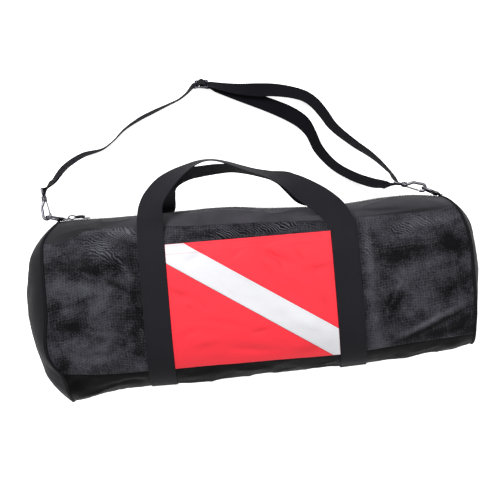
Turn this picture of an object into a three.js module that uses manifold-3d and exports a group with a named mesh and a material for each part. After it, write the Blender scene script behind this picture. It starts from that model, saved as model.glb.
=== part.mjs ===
// Mesh dive gear bag: a duffle of open mesh with solid panels, lying on its back.
// Millimetres. X runs along the bag, Y towards the zipper side, Z up out of the front.
// The origin lies on the floor under the middle of the bag.
import * as THREE from 'three';
import { mergeVertices } from 'three/addons/utils/BufferGeometryUtils.js';
import Module from 'manifold-3d';

const wasm = await Module();
wasm.setup();

// Bag body
const LEFT_LENGTH = 392;
const RIGHT_LENGTH = 417;
const HALF_DEPTH = 165;
const HEIGHT = 264;
const LEFT_BULGE = 40;
const RIGHT_BULGE = 21;
const LEFT_DROP = 14;
const RIGHT_DROP = 20;
const FLOOR_SINK = 5;
const FLOOR_BLEND = 3;
const SQUARENESS = 2.9;
const CLOTH_WALL = 1.5;
const MESH_WALL = 1.2;
const SEAM_GAP = 0.3;

// Flag pocket
const FLAG_TOP = 104;
const FLAG_WALL = 1;
const STRIPE_WIDTH = 52;
const STRIPE_WALL = 0.8;
const STRIPE_START = 3;
const STRIPE_END = 15;

// Handle webbing
const WEB_WIDTH = 50;
const WEB_WALL = 2;
const WEB_LEFT = 183;
const WEB_RIGHT = 180;
const GROOVE_RAMP = 14;

// Zipper
const TAPE_WIDTH = 24;
const TAPE_WALL = 1.2;
const COIL_WIDTH = 6;
const COIL_RISE = 1.6;
const ZIP_RISE = 0.55;
const SLIDER_INSET = 74;
const SLIDER_LENGTH = 14;
const SLIDER_WIDTH = 10;
const SLIDER_HEIGHT = 6;
const PULL_LENGTH = 27;
const PULL_WIDTH = 8;
const PULL_WALL = 1.8;

// Shoulder strap and hardware
const STRAP_WIDTH = 32;
const STRAP_WALL = 1.6;
const RING_WIDTH = 40;
const RING_DEPTH = 27;
const RING_WIRE = 4;
const RING_SWING = 20;
const LEFT_RING_INSET = 6;
const RIGHT_RING_INSET = 18;
const TAB_WIDTH = 28;
const TAB_LENGTH = 15;
const RIGHT_TAB_LENGTH = 12;
const TAB_WALL = 1.6;
const HOOK_WIRE = 4.4;
const HOOK_RADIUS = 6.8;
const HOOK_SPINE = 22;
const BARREL_LENGTH = 10;
const BARREL_WIDTH = 9;
const EYE_OPENING = 7;
const EYE_WIRE = 3.6;
const GATE_WIRE = 3;
const GATE_ROOM = 0.95;
const LINK_ROOM = 1.1;
const TURN_ROOM = 0.15;
const GLIDE_LENGTH = 27;
const GLIDE_WIRE = 3.2;
const FIT = 0.3;

const HALF_WEB = WEB_WIDTH / 2;
const WEB_LIFT = SEAM_GAP + WEB_WALL;

// Cross-sections along the bag. at: share of LEFT_LENGTH or RIGHT_LENGTH. zip and base: reach
// towards the zipper and towards the bottom, upper and lower: front seams of the mesh, all as
// shares of HALF_DEPTH. rise: share of HEIGHT.
const SECTIONS = [
  { at: -1.0, zip: 1.0, base: 1.1, rise: 0.9, upper: 0.76, lower: -0.74 },
  { at: -0.9, zip: 1.01, base: 1.08, rise: 0.935, upper: 0.78, lower: -0.77 },
  { at: -0.72, zip: 1.0, base: 1.01, rise: 0.975, upper: 0.88, lower: -0.79 },
  { at: -0.54, zip: 1.0, base: 0.99, rise: 0.99, upper: 0.87, lower: -0.79 },
  { at: -0.27, zip: 1.01, base: 0.99, rise: 1.0, upper: 0.82, lower: -0.78 },
  { at: -0.08, zip: 1.01, base: 0.97, rise: 1.0, upper: 0.81, lower: -0.78 },
  { at: 0.11, zip: 0.96, base: 0.95, rise: 0.995, upper: 0.79, lower: -0.78 },
  { at: 0.36, zip: 0.93, base: 0.95, rise: 0.99, upper: 0.76, lower: -0.78 },
  { at: 0.48, zip: 0.94, base: 0.94, rise: 0.985, upper: 0.76, lower: -0.77 },
  { at: 0.66, zip: 0.97, base: 0.91, rise: 0.97, upper: 0.76, lower: -0.73 },
  { at: 0.8, zip: 0.97, base: 0.88, rise: 0.955, upper: 0.76, lower: -0.71 },
  { at: 0.9, zip: 0.95, base: 0.86, rise: 0.94, upper: 0.78, lower: -0.7 },
  { at: 1.0, zip: 0.93, base: 0.81, rise: 0.92, upper: 0.82, lower: -0.68 },
];

// How far the end seams are pulled in. reach: share of the way from the middle of the section to
// the zipper side. left and right: shares of LEFT_LENGTH and RIGHT_LENGTH.
const SEAM_PULL = [
  { reach: -1.0, left: 0.073, right: 0.01 },
  { reach: -0.85, left: 0.068, right: 0.008 },
  { reach: -0.7, left: 0.056, right: 0.005 },
  { reach: -0.6, left: 0.022, right: 0.002 },
  { reach: -0.47, left: -0.008, right: 0.0 },
  { reach: -0.3, left: -0.016, right: 0.0 },
  { reach: 0.0, left: 0.0, right: 0.0 },
  { reach: 0.4, left: 0.0, right: 0.002 },
  { reach: 0.68, left: 0.0, right: 0.022 },
  { reach: 0.8, left: 0.008, right: 0.036 },
  { reach: 0.88, left: 0.03, right: 0.052 },
  { reach: 0.96, left: 0.062, right: 0.078 },
  { reach: 1.0, left: 0.073, right: 0.098 },
];

// Hollows and swells of the slack cloth. at: share of the half length, turn: degrees around the
// girth, along and across: half sizes in shares of HEIGHT, skew: degrees, depth: share of HEIGHT.
const FOLDS = [
  { at: -0.84, turn: 34, along: 0.26, across: 0.08, skew: -38, depth: -0.022 },
  { at: -0.7, turn: 47, along: 0.3, across: 0.05, skew: -14, depth: 0.018 },
  { at: -0.66, turn: 12, along: 0.2, across: 0.12, skew: 22, depth: -0.02 },
  { at: -0.86, turn: -2, along: 0.16, across: 0.16, skew: 0, depth: 0.016 },
  { at: -0.78, turn: -26, along: 0.24, across: 0.07, skew: -8, depth: -0.018 },
  { at: -0.93, turn: -46, along: 0.14, across: 0.09, skew: 35, depth: -0.026 },
  { at: -0.66, turn: -60, along: 0.22, across: 0.06, skew: 6, depth: -0.014 },
  { at: -0.13, turn: 66, along: 0.3, across: 0.07, skew: 4, depth: 0.014 },
  { at: 0.28, turn: 62, along: 0.28, across: 0.08, skew: -6, depth: -0.02 },
  { at: -0.26, turn: 18, along: 0.12, across: 0.05, skew: 30, depth: -0.009 },
  { at: 0.14, turn: 14, along: 0.2, across: 0.05, skew: -28, depth: -0.012 },
  { at: 0.24, turn: -16, along: 0.22, across: 0.07, skew: -24, depth: 0.01 },
  { at: -0.02, turn: -34, along: 0.26, across: 0.06, skew: -12, depth: -0.01 },
  { at: 0.62, turn: 26, along: 0.22, across: 0.08, skew: 10, depth: -0.022 },
  { at: 0.84, turn: 28, along: 0.16, across: 0.12, skew: 24, depth: -0.02 },
  { at: 0.72, turn: 8, along: 0.3, across: 0.055, skew: 14, depth: 0.02 },
  { at: 0.58, turn: -14, along: 0.16, across: 0.07, skew: -58, depth: -0.02 },
  { at: 0.88, turn: -10, along: 0.2, across: 0.07, skew: 20, depth: -0.024 },
  { at: 0.78, turn: -27, along: 0.3, across: 0.05, skew: 24, depth: 0.02 },
  { at: 0.92, turn: -40, along: 0.14, across: 0.1, skew: 10, depth: -0.02 },
  { at: -0.3, turn: -74, along: 0.3, across: 0.06, skew: 3, depth: 0.01 },
  { at: 0.3, turn: -72, along: 0.36, across: 0.05, skew: -4, depth: -0.01 },
  { at: -0.74, turn: 130, along: 0.26, across: 0.1, skew: 18, depth: -0.018 },
  { at: 0.7, turn: 136, along: 0.24, across: 0.1, skew: -20, depth: -0.018 },
  { at: -0.6, turn: 232, along: 0.24, across: 0.1, skew: -14, depth: -0.016 },
  { at: 0.66, turn: 228, along: 0.26, across: 0.1, skew: 16, depth: -0.016 },
];

// Front carry handle from its left leg to its right one. x: share of WEB_LEFT or WEB_RIGHT, reach:
// share of HALF_DEPTH, rise: share of HEIGHT, lean: degrees of its width out of level.
const FRONT_HANDLE = [
  { x: -1.0, reach: 0.885, rise: 0.885, lean: 3 },
  { x: -0.995, reach: 0.965, rise: 0.873, lean: 10 },
  { x: -0.985, reach: 1.065, rise: 0.852, lean: 22 },
  { x: -0.95, reach: 1.165, rise: 0.832, lean: 32 },
  { x: -0.89, reach: 1.255, rise: 0.81, lean: 38 },
  { x: -0.815, reach: 1.34, rise: 0.795, lean: 46 },
  { x: -0.705, reach: 1.425, rise: 0.78, lean: 59 },
  { x: -0.595, reach: 1.49, rise: 0.773, lean: 71 },
  { x: -0.485, reach: 1.54, rise: 0.769, lean: 79 },
  { x: -0.38, reach: 1.563, rise: 0.769, lean: 84 },
  { x: -0.29, reach: 1.558, rise: 0.769, lean: 85 },
  { x: -0.165, reach: 1.518, rise: 0.769, lean: 83 },
  { x: -0.027, reach: 1.455, rise: 0.773, lean: 80 },
  { x: 0.128, reach: 1.39, rise: 0.78, lean: 77 },
  { x: 0.3, reach: 1.327, rise: 0.788, lean: 69 },
  { x: 0.483, reach: 1.242, rise: 0.803, lean: 48 },
  { x: 0.633, reach: 1.122, rise: 0.826, lean: 24 },
  { x: 0.8, reach: 0.982, rise: 0.856, lean: 8 },
  { x: 0.922, reach: 0.842, rise: 0.882, lean: 2 },
];

// Back carry handle in the same columns, from the underside up round the zipper side and below
// the front one. lean: degrees that its face turns down from the zipper side.
const BACK_HANDLE = [
  { x: -0.995, reach: 0.97, rise: 0.212, lean: 22 },
  { x: -0.973, reach: 1.018, rise: 0.295, lean: 10 },
  { x: -0.934, reach: 1.045, rise: 0.367, lean: 6 },
  { x: -0.896, reach: 1.1, rise: 0.42, lean: 14 },
  { x: -0.874, reach: 1.2, rise: 0.462, lean: 28 },
  { x: -0.847, reach: 1.29, rise: 0.485, lean: 33 },
  { x: -0.792, reach: 1.364, rise: 0.5, lean: 37 },
  { x: -0.7, reach: 1.412, rise: 0.515, lean: 32 },
  { x: -0.58, reach: 1.442, rise: 0.523, lean: 25 },
  { x: -0.448, reach: 1.455, rise: 0.53, lean: 22 },
  { x: -0.279, reach: 1.467, rise: 0.53, lean: 20 },
  { x: -0.12, reach: 1.46, rise: 0.53, lean: 15 },
  { x: 0.033, reach: 1.412, rise: 0.53, lean: 8 },
  { x: 0.2, reach: 1.364, rise: 0.523, lean: 10 },
  { x: 0.328, reach: 1.333, rise: 0.515, lean: 18 },
  { x: 0.444, reach: 1.285, rise: 0.5, lean: 30 },
  { x: 0.544, reach: 1.194, rise: 0.477, lean: 38 },
  { x: 0.633, reach: 1.079, rise: 0.45, lean: 33 },
  { x: 0.705, reach: 1.012, rise: 0.415, lean: 20 },
  { x: 0.783, reach: 0.972, rise: 0.364, lean: 9 },
  { x: 0.878, reach: 0.955, rise: 0.288, lean: 12 },
  { x: 0.955, reach: 0.915, rise: 0.197, lean: 25 },
];

// Shoulder strap on the floor, chosen points in mm: x, y, the lean of its width out of level in
// degrees, and the height of its lowest edge.
const LOWER_STRAND = [
  [-40, 407, -62, 0.6],
  [-16, 398, -50, 0.6],
  [7, 390, -36, 0.6],
  [36, 378, -28, 0.6],
  [69, 363, -22, 0.6],
  [103, 345, -14, 0.6],
  [126, 327, -22, 0.6],
  [141, 303, -44, 0.6],
  [154, 270, -48, 2],
  [181, 235, -52, 12],
  [215, 210, -52, 34],
  [247, 194, -56, 60],
  [276, 184, -62, 86],
];
const UPPER_STRAND = [
  [288, 205, 70, 84],
  [270, 230, 66, 58],
  [252, 250, 60, 38],
  [224, 275, 56, 18],
  [186, 313, 52, 5],
  [169, 341, 47, 1],
  [153, 363, 44, 0.6],
  [136, 377, 42, 0.6],
  [111, 387, 39, 0.6],
  [75, 395, 32, 0.6],
  [44, 398, 29, 0.6],
  [8, 402, 42, 0.6],
  [-21, 408, 54, 0.6],
  [-41, 413, 62, 1.5],
];
const SINGLE_STRAND = [
  [-98, 403, 78, 2],
  [-114, 392, 80, 0.6],
  [-134, 384, 79, 0.6],
  [-171, 370, 74, 0.6],
  [-195, 360, 74, 0.6],
  [-228, 341, 79, 0.6],
  [-252, 320, 82, 0.6],
  [-274, 306, 83, 0.6],
  [-313, 297, 74, 9],
  [-346, 277, 70, 32],
  [-366, 252, 73, 64],
  [-377, 236, 76, 90],
];

// Where the loose hardware points: each hook from its ring to its eye, and across to its gate,
// and the strap adjuster along the strap and along its bars.
const HOOK_LEFT = { way: [-0.09, 0.95, -0.27], across: [1, 0.1, 0] };
const HOOK_RIGHT = { way: [-0.93, 0.25, -0.27], across: [-0.25, -0.93, 0] };
const GLIDE = { middle: [-68, 418, 21], way: [1, -0.02, 0], axis: [0, -0.42, 0.91] };

// Path of the strap over the middle bar of the adjuster, and of its sewn end below it, in mm
// along and across the adjuster.
const GLIDE_PASS = [
  [16, -2.9], [11.9, -3], [8.8, -1.4], [4.5, 3], [0, 5.2], [-4.5, 3], [-8.8, -1.4], [-11.9, -3], [-16, -2.9],
];
const GLIDE_END = [[4.5, -3.3], [8.8, -4.3], [11.9, -5.1], [16, -5.1]];

const rad = THREE.MathUtils.degToRad;
const deg = THREE.MathUtils.radToDeg;
const vec = (x, y, z) => new THREE.Vector3(x, y, z);
const unit = (a) => vec(...a).normalize();
const at = (point, way, by) => point.clone().addScaledVector(way, by);

// Smooth value of one column of a table at a position of its key column.
function lookUp(rows, key, column, where) {
  const last = rows.length - 1;
  const clamped = THREE.MathUtils.clamp(where, rows[0][key], rows[last][key]);
  let i = 0;
  while (i < last - 1 && clamped > rows[i + 1][key]) i += 1;
  const t = (clamped - rows[i][key]) / (rows[i + 1][key] - rows[i][key]);
  const slope = (k) => {
    const low = rows[Math.max(k - 1, 0)];
    const high = rows[Math.min(k + 1, last)];
    return (high[column] - low[column]) / (high[key] - low[key]);
  };
  const span = rows[i + 1][key] - rows[i][key];
  const start = slope(i) * span;
  const end = slope(i + 1) * span;
  const rise = rows[i + 1][column] - rows[i][column];
  const cubic = start + end - 2 * rise;
  const square = 3 * rise - 2 * start - end;
  return rows[i][column] + t * (start + t * (square + t * cubic));
}

// Body surface

const shareOf = (x) => x / (x < 0 ? LEFT_LENGTH : RIGHT_LENGTH);

function sectionAt(x) {
  const share = shareOf(x);
  const zip = lookUp(SECTIONS, 'at', 'zip', share) * HALF_DEPTH;
  const base = lookUp(SECTIONS, 'at', 'base', share) * HALF_DEPTH;
  return {
    middle: (zip - base) / 2,
    half: (zip + base) / 2,
    rise: lookUp(SECTIONS, 'at', 'rise', share) * HEIGHT + FLOOR_SINK,
    upper: lookUp(SECTIONS, 'at', 'upper', share) * HALF_DEPTH,
    lower: lookUp(SECTIONS, 'at', 'lower', share) * HALF_DEPTH,
  };
}

// Girth angle of the front point that lies at a given y, from the front towards the zipper.
function turnAtY(section, y) {
  const share = (y - section.middle) / section.half;
  return deg(Math.asin(Math.sign(share) * Math.abs(share) ** (SQUARENESS / 2)));
}

// Girth angle of the zipper side at a given height.
function turnAtZ(section, z) {
  const share = (2 * z) / section.rise - 1;
  return deg(Math.acos(Math.sign(share) * Math.abs(share) ** (SQUARENESS / 2)));
}

function foldDepth(x, turn) {
  const share = shareOf(x);
  let depth = 0;
  for (const fold of FOLDS) {
    const away = ((turn - fold.turn + 540) % 360) - 180;
    const across = rad(away) * HALF_DEPTH;
    const along = (share - fold.at) * (x < 0 ? LEFT_LENGTH : RIGHT_LENGTH);
    const cos = Math.cos(rad(fold.skew));
    const sin = Math.sin(rad(fold.skew));
    const u = (along * cos + across * sin) / (fold.along * HEIGHT);
    const v = (across * cos - along * sin) / (fold.across * HEIGHT);
    depth += fold.depth * HEIGHT * Math.exp(-2 * (u * u + v * v));
  }
  return depth;
}

// Height that the cloth keeps above the floor: the webbing runs under it in a shallow groove.
function floorLevel(x) {
  const past = Math.abs(Math.abs(x) - (x < 0 ? WEB_LEFT : WEB_RIGHT)) - HALF_WEB;
  return WEB_LIFT * (1 - THREE.MathUtils.smoothstep(past, 0, GROOVE_RAMP));
}

function settle(z, level) {
  const over = z - FLOOR_SINK - level;
  if (over <= -FLOOR_BLEND) return level;
  if (over >= FLOOR_BLEND) return over + level;
  return level + (over + FLOOR_BLEND) ** 2 / (4 * FLOOR_BLEND);
}

function seamPull(share, reach) {
  const column = share < 0 ? 'left' : 'right';
  const grip = Math.max(Math.abs(share) * 2 - 1, 0) ** 2;
  return lookUp(SEAM_PULL, 'reach', column, reach) * grip;
}

const signedPower = (value, power) => Math.sign(value) * Math.abs(value) ** power;

// Point of the outer cloth at station x and girth angle turn, in degrees from -180 to 180.
function skin(x, turn) {
  const section = sectionAt(x);
  const sin = Math.sin(rad(turn));
  const cos = Math.cos(rad(turn));
  const power = 2 / SQUARENESS;
  const out = foldDepth(x, turn);
  const reach = signedPower(sin, power);
  const y = section.middle + section.half * reach + sin * out;
  const z = (section.rise / 2) * (1 + signedPower(cos, power)) + cos * out;
  const share = shareOf(x);
  return vec(x * (1 - seamPull(share, reach)), y, settle(z, floorLevel(x)));
}

const around = (turn) => ((turn + 540) % 360) - 180;

// Named girth lines at a station, in degrees from the front towards the zipper and on round.
function girthLine(name, x) {
  const section = sectionAt(x);
  const zip = ZIP_RISE * section.rise;
  const upper = turnAtY(section, section.upper);
  const lower = turnAtY(section, section.lower);
  const lines = {
    zipFront: turnAtZ(section, zip + TAPE_WIDTH / 2),
    upperFront: upper,
    flagTop: turnAtY(section, FLAG_TOP),
    lowerFront: lower,
    base: -90,
    lowerBack: -180 - lower,
    upperBack: -180 - upper,
    zipBack: turnAtZ(section, zip - TAPE_WIDTH / 2) - 360,
  };
  return lines[name];
}

// Grid lines of the body around the girth: name of the line before, after, and the steps between.
const BANDS = [
  ['zipFront', 'upperFront', 3],
  ['upperFront', 'flagTop', 2],
  ['flagTop', 'lowerFront', 9],
  ['lowerFront', 'base', 3],
  ['base', 'lowerBack', 3],
  ['lowerBack', 'upperBack', 8],
  ['upperBack', 'zipBack', 3],
];

const rowOf = { zipFront: 0 };
const GIRTH = [{ from: 'zipFront', to: 'zipFront', t: 0 }];
for (const [from, to, steps] of BANDS) {
  for (let k = 1; k <= steps; k += 1) GIRTH.push({ from, to, t: k / steps });
  rowOf[to] = GIRTH.length - 1;
}

const COLUMNS = [-LEFT_LENGTH];
const columnOf = { leftSeam: 0 };
function addColumns(name, end, steps) {
  const start = COLUMNS[COLUMNS.length - 1];
  for (let k = 1; k <= steps; k += 1) COLUMNS.push(start + ((end - start) * k) / steps);
  columnOf[name] = COLUMNS.length - 1;
}
addColumns('leftWebOuter', -WEB_LEFT - HALF_WEB, 7);
addColumns('leftWebInner', -WEB_LEFT + HALF_WEB, 1);
addColumns('rightWebInner', WEB_RIGHT - HALF_WEB, 10);
addColumns('rightWebOuter', WEB_RIGHT + HALF_WEB, 1);
addColumns('rightSeam', RIGHT_LENGTH, 8);

function turnOf(row, x) {
  const line = GIRTH[row];
  return THREE.MathUtils.lerp(girthLine(line.from, x), girthLine(line.to, x), line.t);
}

const gridPoint = (column, row) => skin(COLUMNS[column], around(turnOf(row, COLUMNS[column])));

// Outward normal of the cloth at a grid point, from small steps along and around the bag.
function gridNormal(column, row) {
  const step = 1;
  const x = COLUMNS[column];
  const turn = turnOf(row, x);
  const alongStep = skin(x + step, around(turn)).sub(skin(x - step, around(turn)));
  const aroundStep = skin(x, around(turn + step)).sub(skin(x, around(turn - step)));
  return aroundStep.cross(alongStep).normalize().negate();
}

// Solids from grids of points

function solid(points, faces) {
  const geometry = new THREE.BufferGeometry();
  const flat = points.flatMap((p) => [p.x, p.y, p.z]);
  geometry.setAttribute('position', new THREE.Float32BufferAttribute(flat, 3));
  let volume = 0;
  for (const [a, b, c] of faces) {
    volume += points[a].dot(points[b].clone().cross(points[c]));
  }
  const turned = volume < 0 ? faces.map(([a, b, c]) => [a, c, b]) : faces;
  geometry.setIndex(turned.flat());
  return geometry;
}

// Closed sheet between an outer and an inner grid of the same size.
function sheet(outer, inner) {
  const rows = outer.length;
  const columns = outer[0].length;
  const points = [...outer.flat(), ...inner.flat()];
  const depth = rows * columns;
  const id = (row, column, layer) => layer * depth + row * columns + column;
  const faces = [];
  const quad = (a, b, c, d) => faces.push([a, b, c], [a, c, d]);
  for (let r = 0; r < rows - 1; r += 1) {
    for (let c = 0; c < columns - 1; c += 1) {
      quad(id(r, c, 0), id(r, c + 1, 0), id(r + 1, c + 1, 0), id(r + 1, c, 0));
      const [a, b, d, e] = [id(r, c, 1), id(r, c + 1, 1), id(r + 1, c + 1, 1), id(r + 1, c, 1)];
      faces.push([a, d, b], [a, e, d]);
    }
  }
  for (let c = 0; c < columns - 1; c += 1) {
    quad(id(0, c, 1), id(0, c + 1, 1), id(0, c + 1, 0), id(0, c, 0));
    quad(id(rows - 1, c, 0), id(rows - 1, c + 1, 0), id(rows - 1, c + 1, 1), id(rows - 1, c, 1));
  }
  for (let r = 0; r < rows - 1; r += 1) {
    quad(id(r, 0, 0), id(r + 1, 0, 0), id(r + 1, 0, 1), id(r, 0, 1));
    quad(id(r, columns - 1, 1), id(r + 1, columns - 1, 1), id(r + 1, columns - 1, 0), id(r, columns - 1, 0));
  }
  return solid(points, faces);
}

// Moves the border points of a grid inwards along its own facets, to leave half a seam gap.
function trimmed(grid, gap) {
  const rows = grid.length - 1;
  const columns = grid[0].length - 1;
  const moved = grid.map((row) => row.map((p) => p.clone()));
  const shift = (r, c, toRow, toColumn) => {
    const way = grid[toRow][toColumn].clone().sub(grid[r][c]).normalize();
    moved[r][c].addScaledVector(way, gap);
  };
  for (let c = 0; c <= columns; c += 1) {
    shift(0, c, 1, c);
    shift(rows, c, rows - 1, c);
  }
  for (let r = 0; r <= rows; r += 1) {
    shift(r, 0, r, 1);
    shift(r, columns, r, columns - 1);
  }
  return moved;
}

// Panel of the body between two girth lines and two stations, lifted off the cloth by a height.
function panel(fromRow, toRow, fromColumn, toColumn, wall, lift = 0) {
  const outer = [];
  const inner = [];
  for (let row = fromRow; row <= toRow; row += 1) {
    outer.push([]);
    inner.push([]);
    for (let column = fromColumn; column <= toColumn; column += 1) {
      const point = gridPoint(column, row);
      const normal = gridNormal(column, row);
      outer[outer.length - 1].push(at(point, normal, lift));
      inner[inner.length - 1].push(at(point, normal, lift - wall));
    }
  }
  return sheet(trimmed(outer, SEAM_GAP / 2), trimmed(inner, SEAM_GAP / 2));
}

const bodyPanel = (from, to, wall) => (
  panel(rowOf[from], rowOf[to], columnOf.leftSeam, columnOf.rightSeam, wall)
);

// End discs: rings from the end seam to the middle, bulging outwards.
const RINGS = [1, 0.9, 0.7, 0.4];
const LEFT_END = { side: -1, length: LEFT_LENGTH, bulge: LEFT_BULGE, drop: LEFT_DROP };
const RIGHT_END = { side: 1, length: RIGHT_LENGTH, bulge: RIGHT_BULGE, drop: RIGHT_DROP };

function endRim(column) {
  const rim = [];
  for (let row = 0; row < GIRTH.length; row += 1) rim.push(gridPoint(column, row));
  return rim;
}

function discLayer(rim, normals, end, inset) {
  const middle = rim.reduce((sum, p) => sum.add(p), vec(0, 0, 0)).divideScalar(rim.length);
  const reachX = (share, p) => {
    const low = Math.max((middle.y - p.y) / HALF_DEPTH, 0) * share;
    return end.side * (end.length + end.bulge - end.drop * low);
  };
  const rings = RINGS.map((share, ring) => rim.map((p, i) => {
    const fall = share ** 4;
    const peakX = reachX(share, p);
    const x = p.x * fall + peakX * (1 - fall) + end.side * SEAM_GAP;
    const point = vec(x, middle.y + (p.y - middle.y) * share, middle.z + (p.z - middle.z) * share);
    if (inset === 0) return point;
    if (ring === 0) return at(point, normals[i], -inset);
    const slope = Math.atan2(4 * share ** 3 * Math.abs(peakX - p.x), p.distanceTo(middle));
    const out = vec(0, p.y - middle.y, p.z - middle.z).normalize().multiplyScalar(Math.sin(slope));
    return at(point, out.setX(end.side * Math.cos(slope)), -inset);
  }));
  const peak = vec(end.side * (end.length + end.bulge + SEAM_GAP - inset), middle.y, middle.z);
  return { rings, peak };
}

function endDisc(column, end) {
  const rim = endRim(column);
  const normals = rim.map((p, row) => gridNormal(column, row).setX(0).normalize());
  const outer = discLayer(rim, normals, end, 0);
  const inner = discLayer(rim, normals, end, CLOTH_WALL);
  const count = rim.length;
  const layer = [...outer.rings.flat(), outer.peak];
  const points = [...layer, ...inner.rings.flat(), inner.peak];
  const faces = [];
  const id = (ring, i, deep) => deep * layer.length + ring * count + (i % count);
  const last = RINGS.length - 1;
  for (let i = 0; i < count; i += 1) {
    for (let ring = 0; ring < last; ring += 1) {
      const [a, b, c, d] = [id(ring, i, 0), id(ring, i + 1, 0), id(ring + 1, i + 1, 0), id(ring + 1, i, 0)];
      faces.push([a, b, c], [a, c, d]);
      const [e, f, g, h] = [id(ring, i, 1), id(ring, i + 1, 1), id(ring + 1, i + 1, 1), id(ring + 1, i, 1)];
      faces.push([e, g, f], [e, h, g]);
    }
    faces.push([id(last, i, 0), id(last, i + 1, 0), layer.length - 1]);
    faces.push([id(last, i, 1), 2 * layer.length - 1, id(last, i + 1, 1)]);
    const [p, q, r, s] = [id(0, i, 0), id(0, i + 1, 0), id(0, i + 1, 1), id(0, i, 1)];
    faces.push([p, r, q], [p, s, r]);
  }
  return solid(points, faces);
}

// Webbing

// Closed band through sections of four corners each. Both wide faces are cut along the same
// diagonal, so that a twisted band keeps its wall.
function band(sections) {
  const points = sections.flat();
  const faces = [];
  for (let i = 0; i < sections.length - 1; i += 1) {
    for (let k = 0; k < 4; k += 1) {
      const [a, b] = [i * 4 + k, i * 4 + ((k + 1) % 4)];
      if (k === 2) faces.push([a, b, b + 4], [a, b + 4, a + 4]);
      else faces.push([a, b, a + 4], [b, b + 4, a + 4]);
    }
  }
  const end = points.length - 4;
  faces.push([0, 2, 1], [0, 3, 2], [end, end + 1, end + 2], [end, end + 2, end + 3]);
  return solid(points, faces);
}

// Section of a strap at a middle point, with its width along wide and its face along face.
function strapSection(middle, wide, face, width, wall) {
  const corner = (w, n) => at(at(middle, wide, (w * width) / 2), face, (n * wall) / 2);
  return [corner(-1, -1), corner(1, -1), corner(1, 1), corner(-1, 1)];
}

// Section of webbing that lies on the cloth at a grid row, from its first to its second column.
function sewnSection(row, first, second) {
  const [p, q] = [gridPoint(first, row), gridPoint(second, row)];
  const [m, n] = [gridNormal(first, row), gridNormal(second, row)];
  return [at(p, m, SEAM_GAP), at(q, n, SEAM_GAP), at(q, n, WEB_LIFT), at(p, m, WEB_LIFT)];
}

// Width of the front handle: level across its way, turned by its lean.
function frontWidth(way, lean) {
  const level = vec(way.y, -way.x, 0).normalize();
  const upright = level.clone().cross(way);
  return level.multiplyScalar(Math.cos(lean)).addScaledVector(upright, Math.sin(lean));
}

// Width of the back handle: along the zipper side, whose outward direction is turned down by its lean.
const backWidth = (way, lean) => way.clone().cross(vec(0, Math.cos(lean), -Math.sin(lean))).normalize();

function handleSections(rows, widthOf) {
  const middles = rows.map((row) => (
    vec(row.x * (row.x < 0 ? WEB_LEFT : WEB_RIGHT), row.reach * HALF_DEPTH, row.rise * HEIGHT)
  ));
  return middles.map((middle, i) => {
    const before = middles[Math.max(i - 1, 0)];
    const after = middles[Math.min(i + 1, middles.length - 1)];
    const way = after.clone().sub(before).normalize();
    const wide = widthOf(way, rad(rows[i].lean));
    return strapSection(middle, wide, wide.clone().cross(way), WEB_WIDTH, WEB_WALL);
  });
}

// Webbing from the bottom's middle line to a grid row on both sides, with a handle between.
function webbing(toRow, handle, widthOf) {
  const step = Math.sign(toRow - rowOf.base);
  const rows = [];
  for (let row = rowOf.base; row !== toRow + step; row += step) rows.push(row);
  const leg = (outer, inner) => rows.map((row) => (
    step < 0 ? sewnSection(row, outer, inner) : sewnSection(row, inner, outer)
  ));
  const left = leg(columnOf.leftWebOuter, columnOf.leftWebInner);
  const right = leg(columnOf.rightWebOuter, columnOf.rightWebInner);
  for (const sections of [left, right]) {
    const [first, second] = sections;
    sections[0] = first.map((p, k) => at(p, second[k].clone().sub(p).normalize(), SEAM_GAP / 2));
  }
  return band([...left, ...handleSections(handle, widthOf), ...right.reverse()]);
}

// Flag pocket: it lies on the mesh between the two straps.
function flagGrid(lift) {
  const grid = [];
  for (let row = rowOf.flagTop; row <= rowOf.lowerFront; row += 1) {
    const line = [];
    for (let column = columnOf.leftWebInner; column <= columnOf.rightWebInner; column += 1) {
      line.push(at(gridPoint(column, row), gridNormal(column, row), lift));
    }
    grid.push(line);
  }
  return grid;
}

const flagPocket = () => (
  sheet(trimmed(flagGrid(SEAM_GAP + FLAG_WALL), SEAM_GAP), trimmed(flagGrid(SEAM_GAP), SEAM_GAP))
);

// Closed solid of manifold-3d from a geometry, and back.
function toManifold(geometry) {
  const bare = geometry.clone();
  bare.deleteAttribute('normal');
  bare.deleteAttribute('uv');
  const merged = mergeVertices(bare, 1e-4);
  return new wasm.Manifold(new wasm.Mesh({
    numProp: 3,
    vertProperties: new Float32Array(merged.attributes.position.array),
    triVerts: new Uint32Array(merged.index.array),
  }));
}

function fromManifold(body) {
  const { numProp, vertProperties, triVerts } = body.getMesh();
  const geometry = new THREE.BufferGeometry();
  const count = vertProperties.length / numProp;
  const positions = new Float32Array(count * 3);
  for (let i = 0; i < count; i += 1) {
    for (let k = 0; k < 3; k += 1) positions[i * 3 + k] = vertProperties[i * numProp + k];
  }
  geometry.setAttribute('position', new THREE.BufferAttribute(positions, 3));
  geometry.setIndex(Array.from(triVerts));
  return geometry;
}

const joined = (pieces) => fromManifold(pieces.map(toManifold).reduce((sum, piece) => sum.add(piece)));

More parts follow.
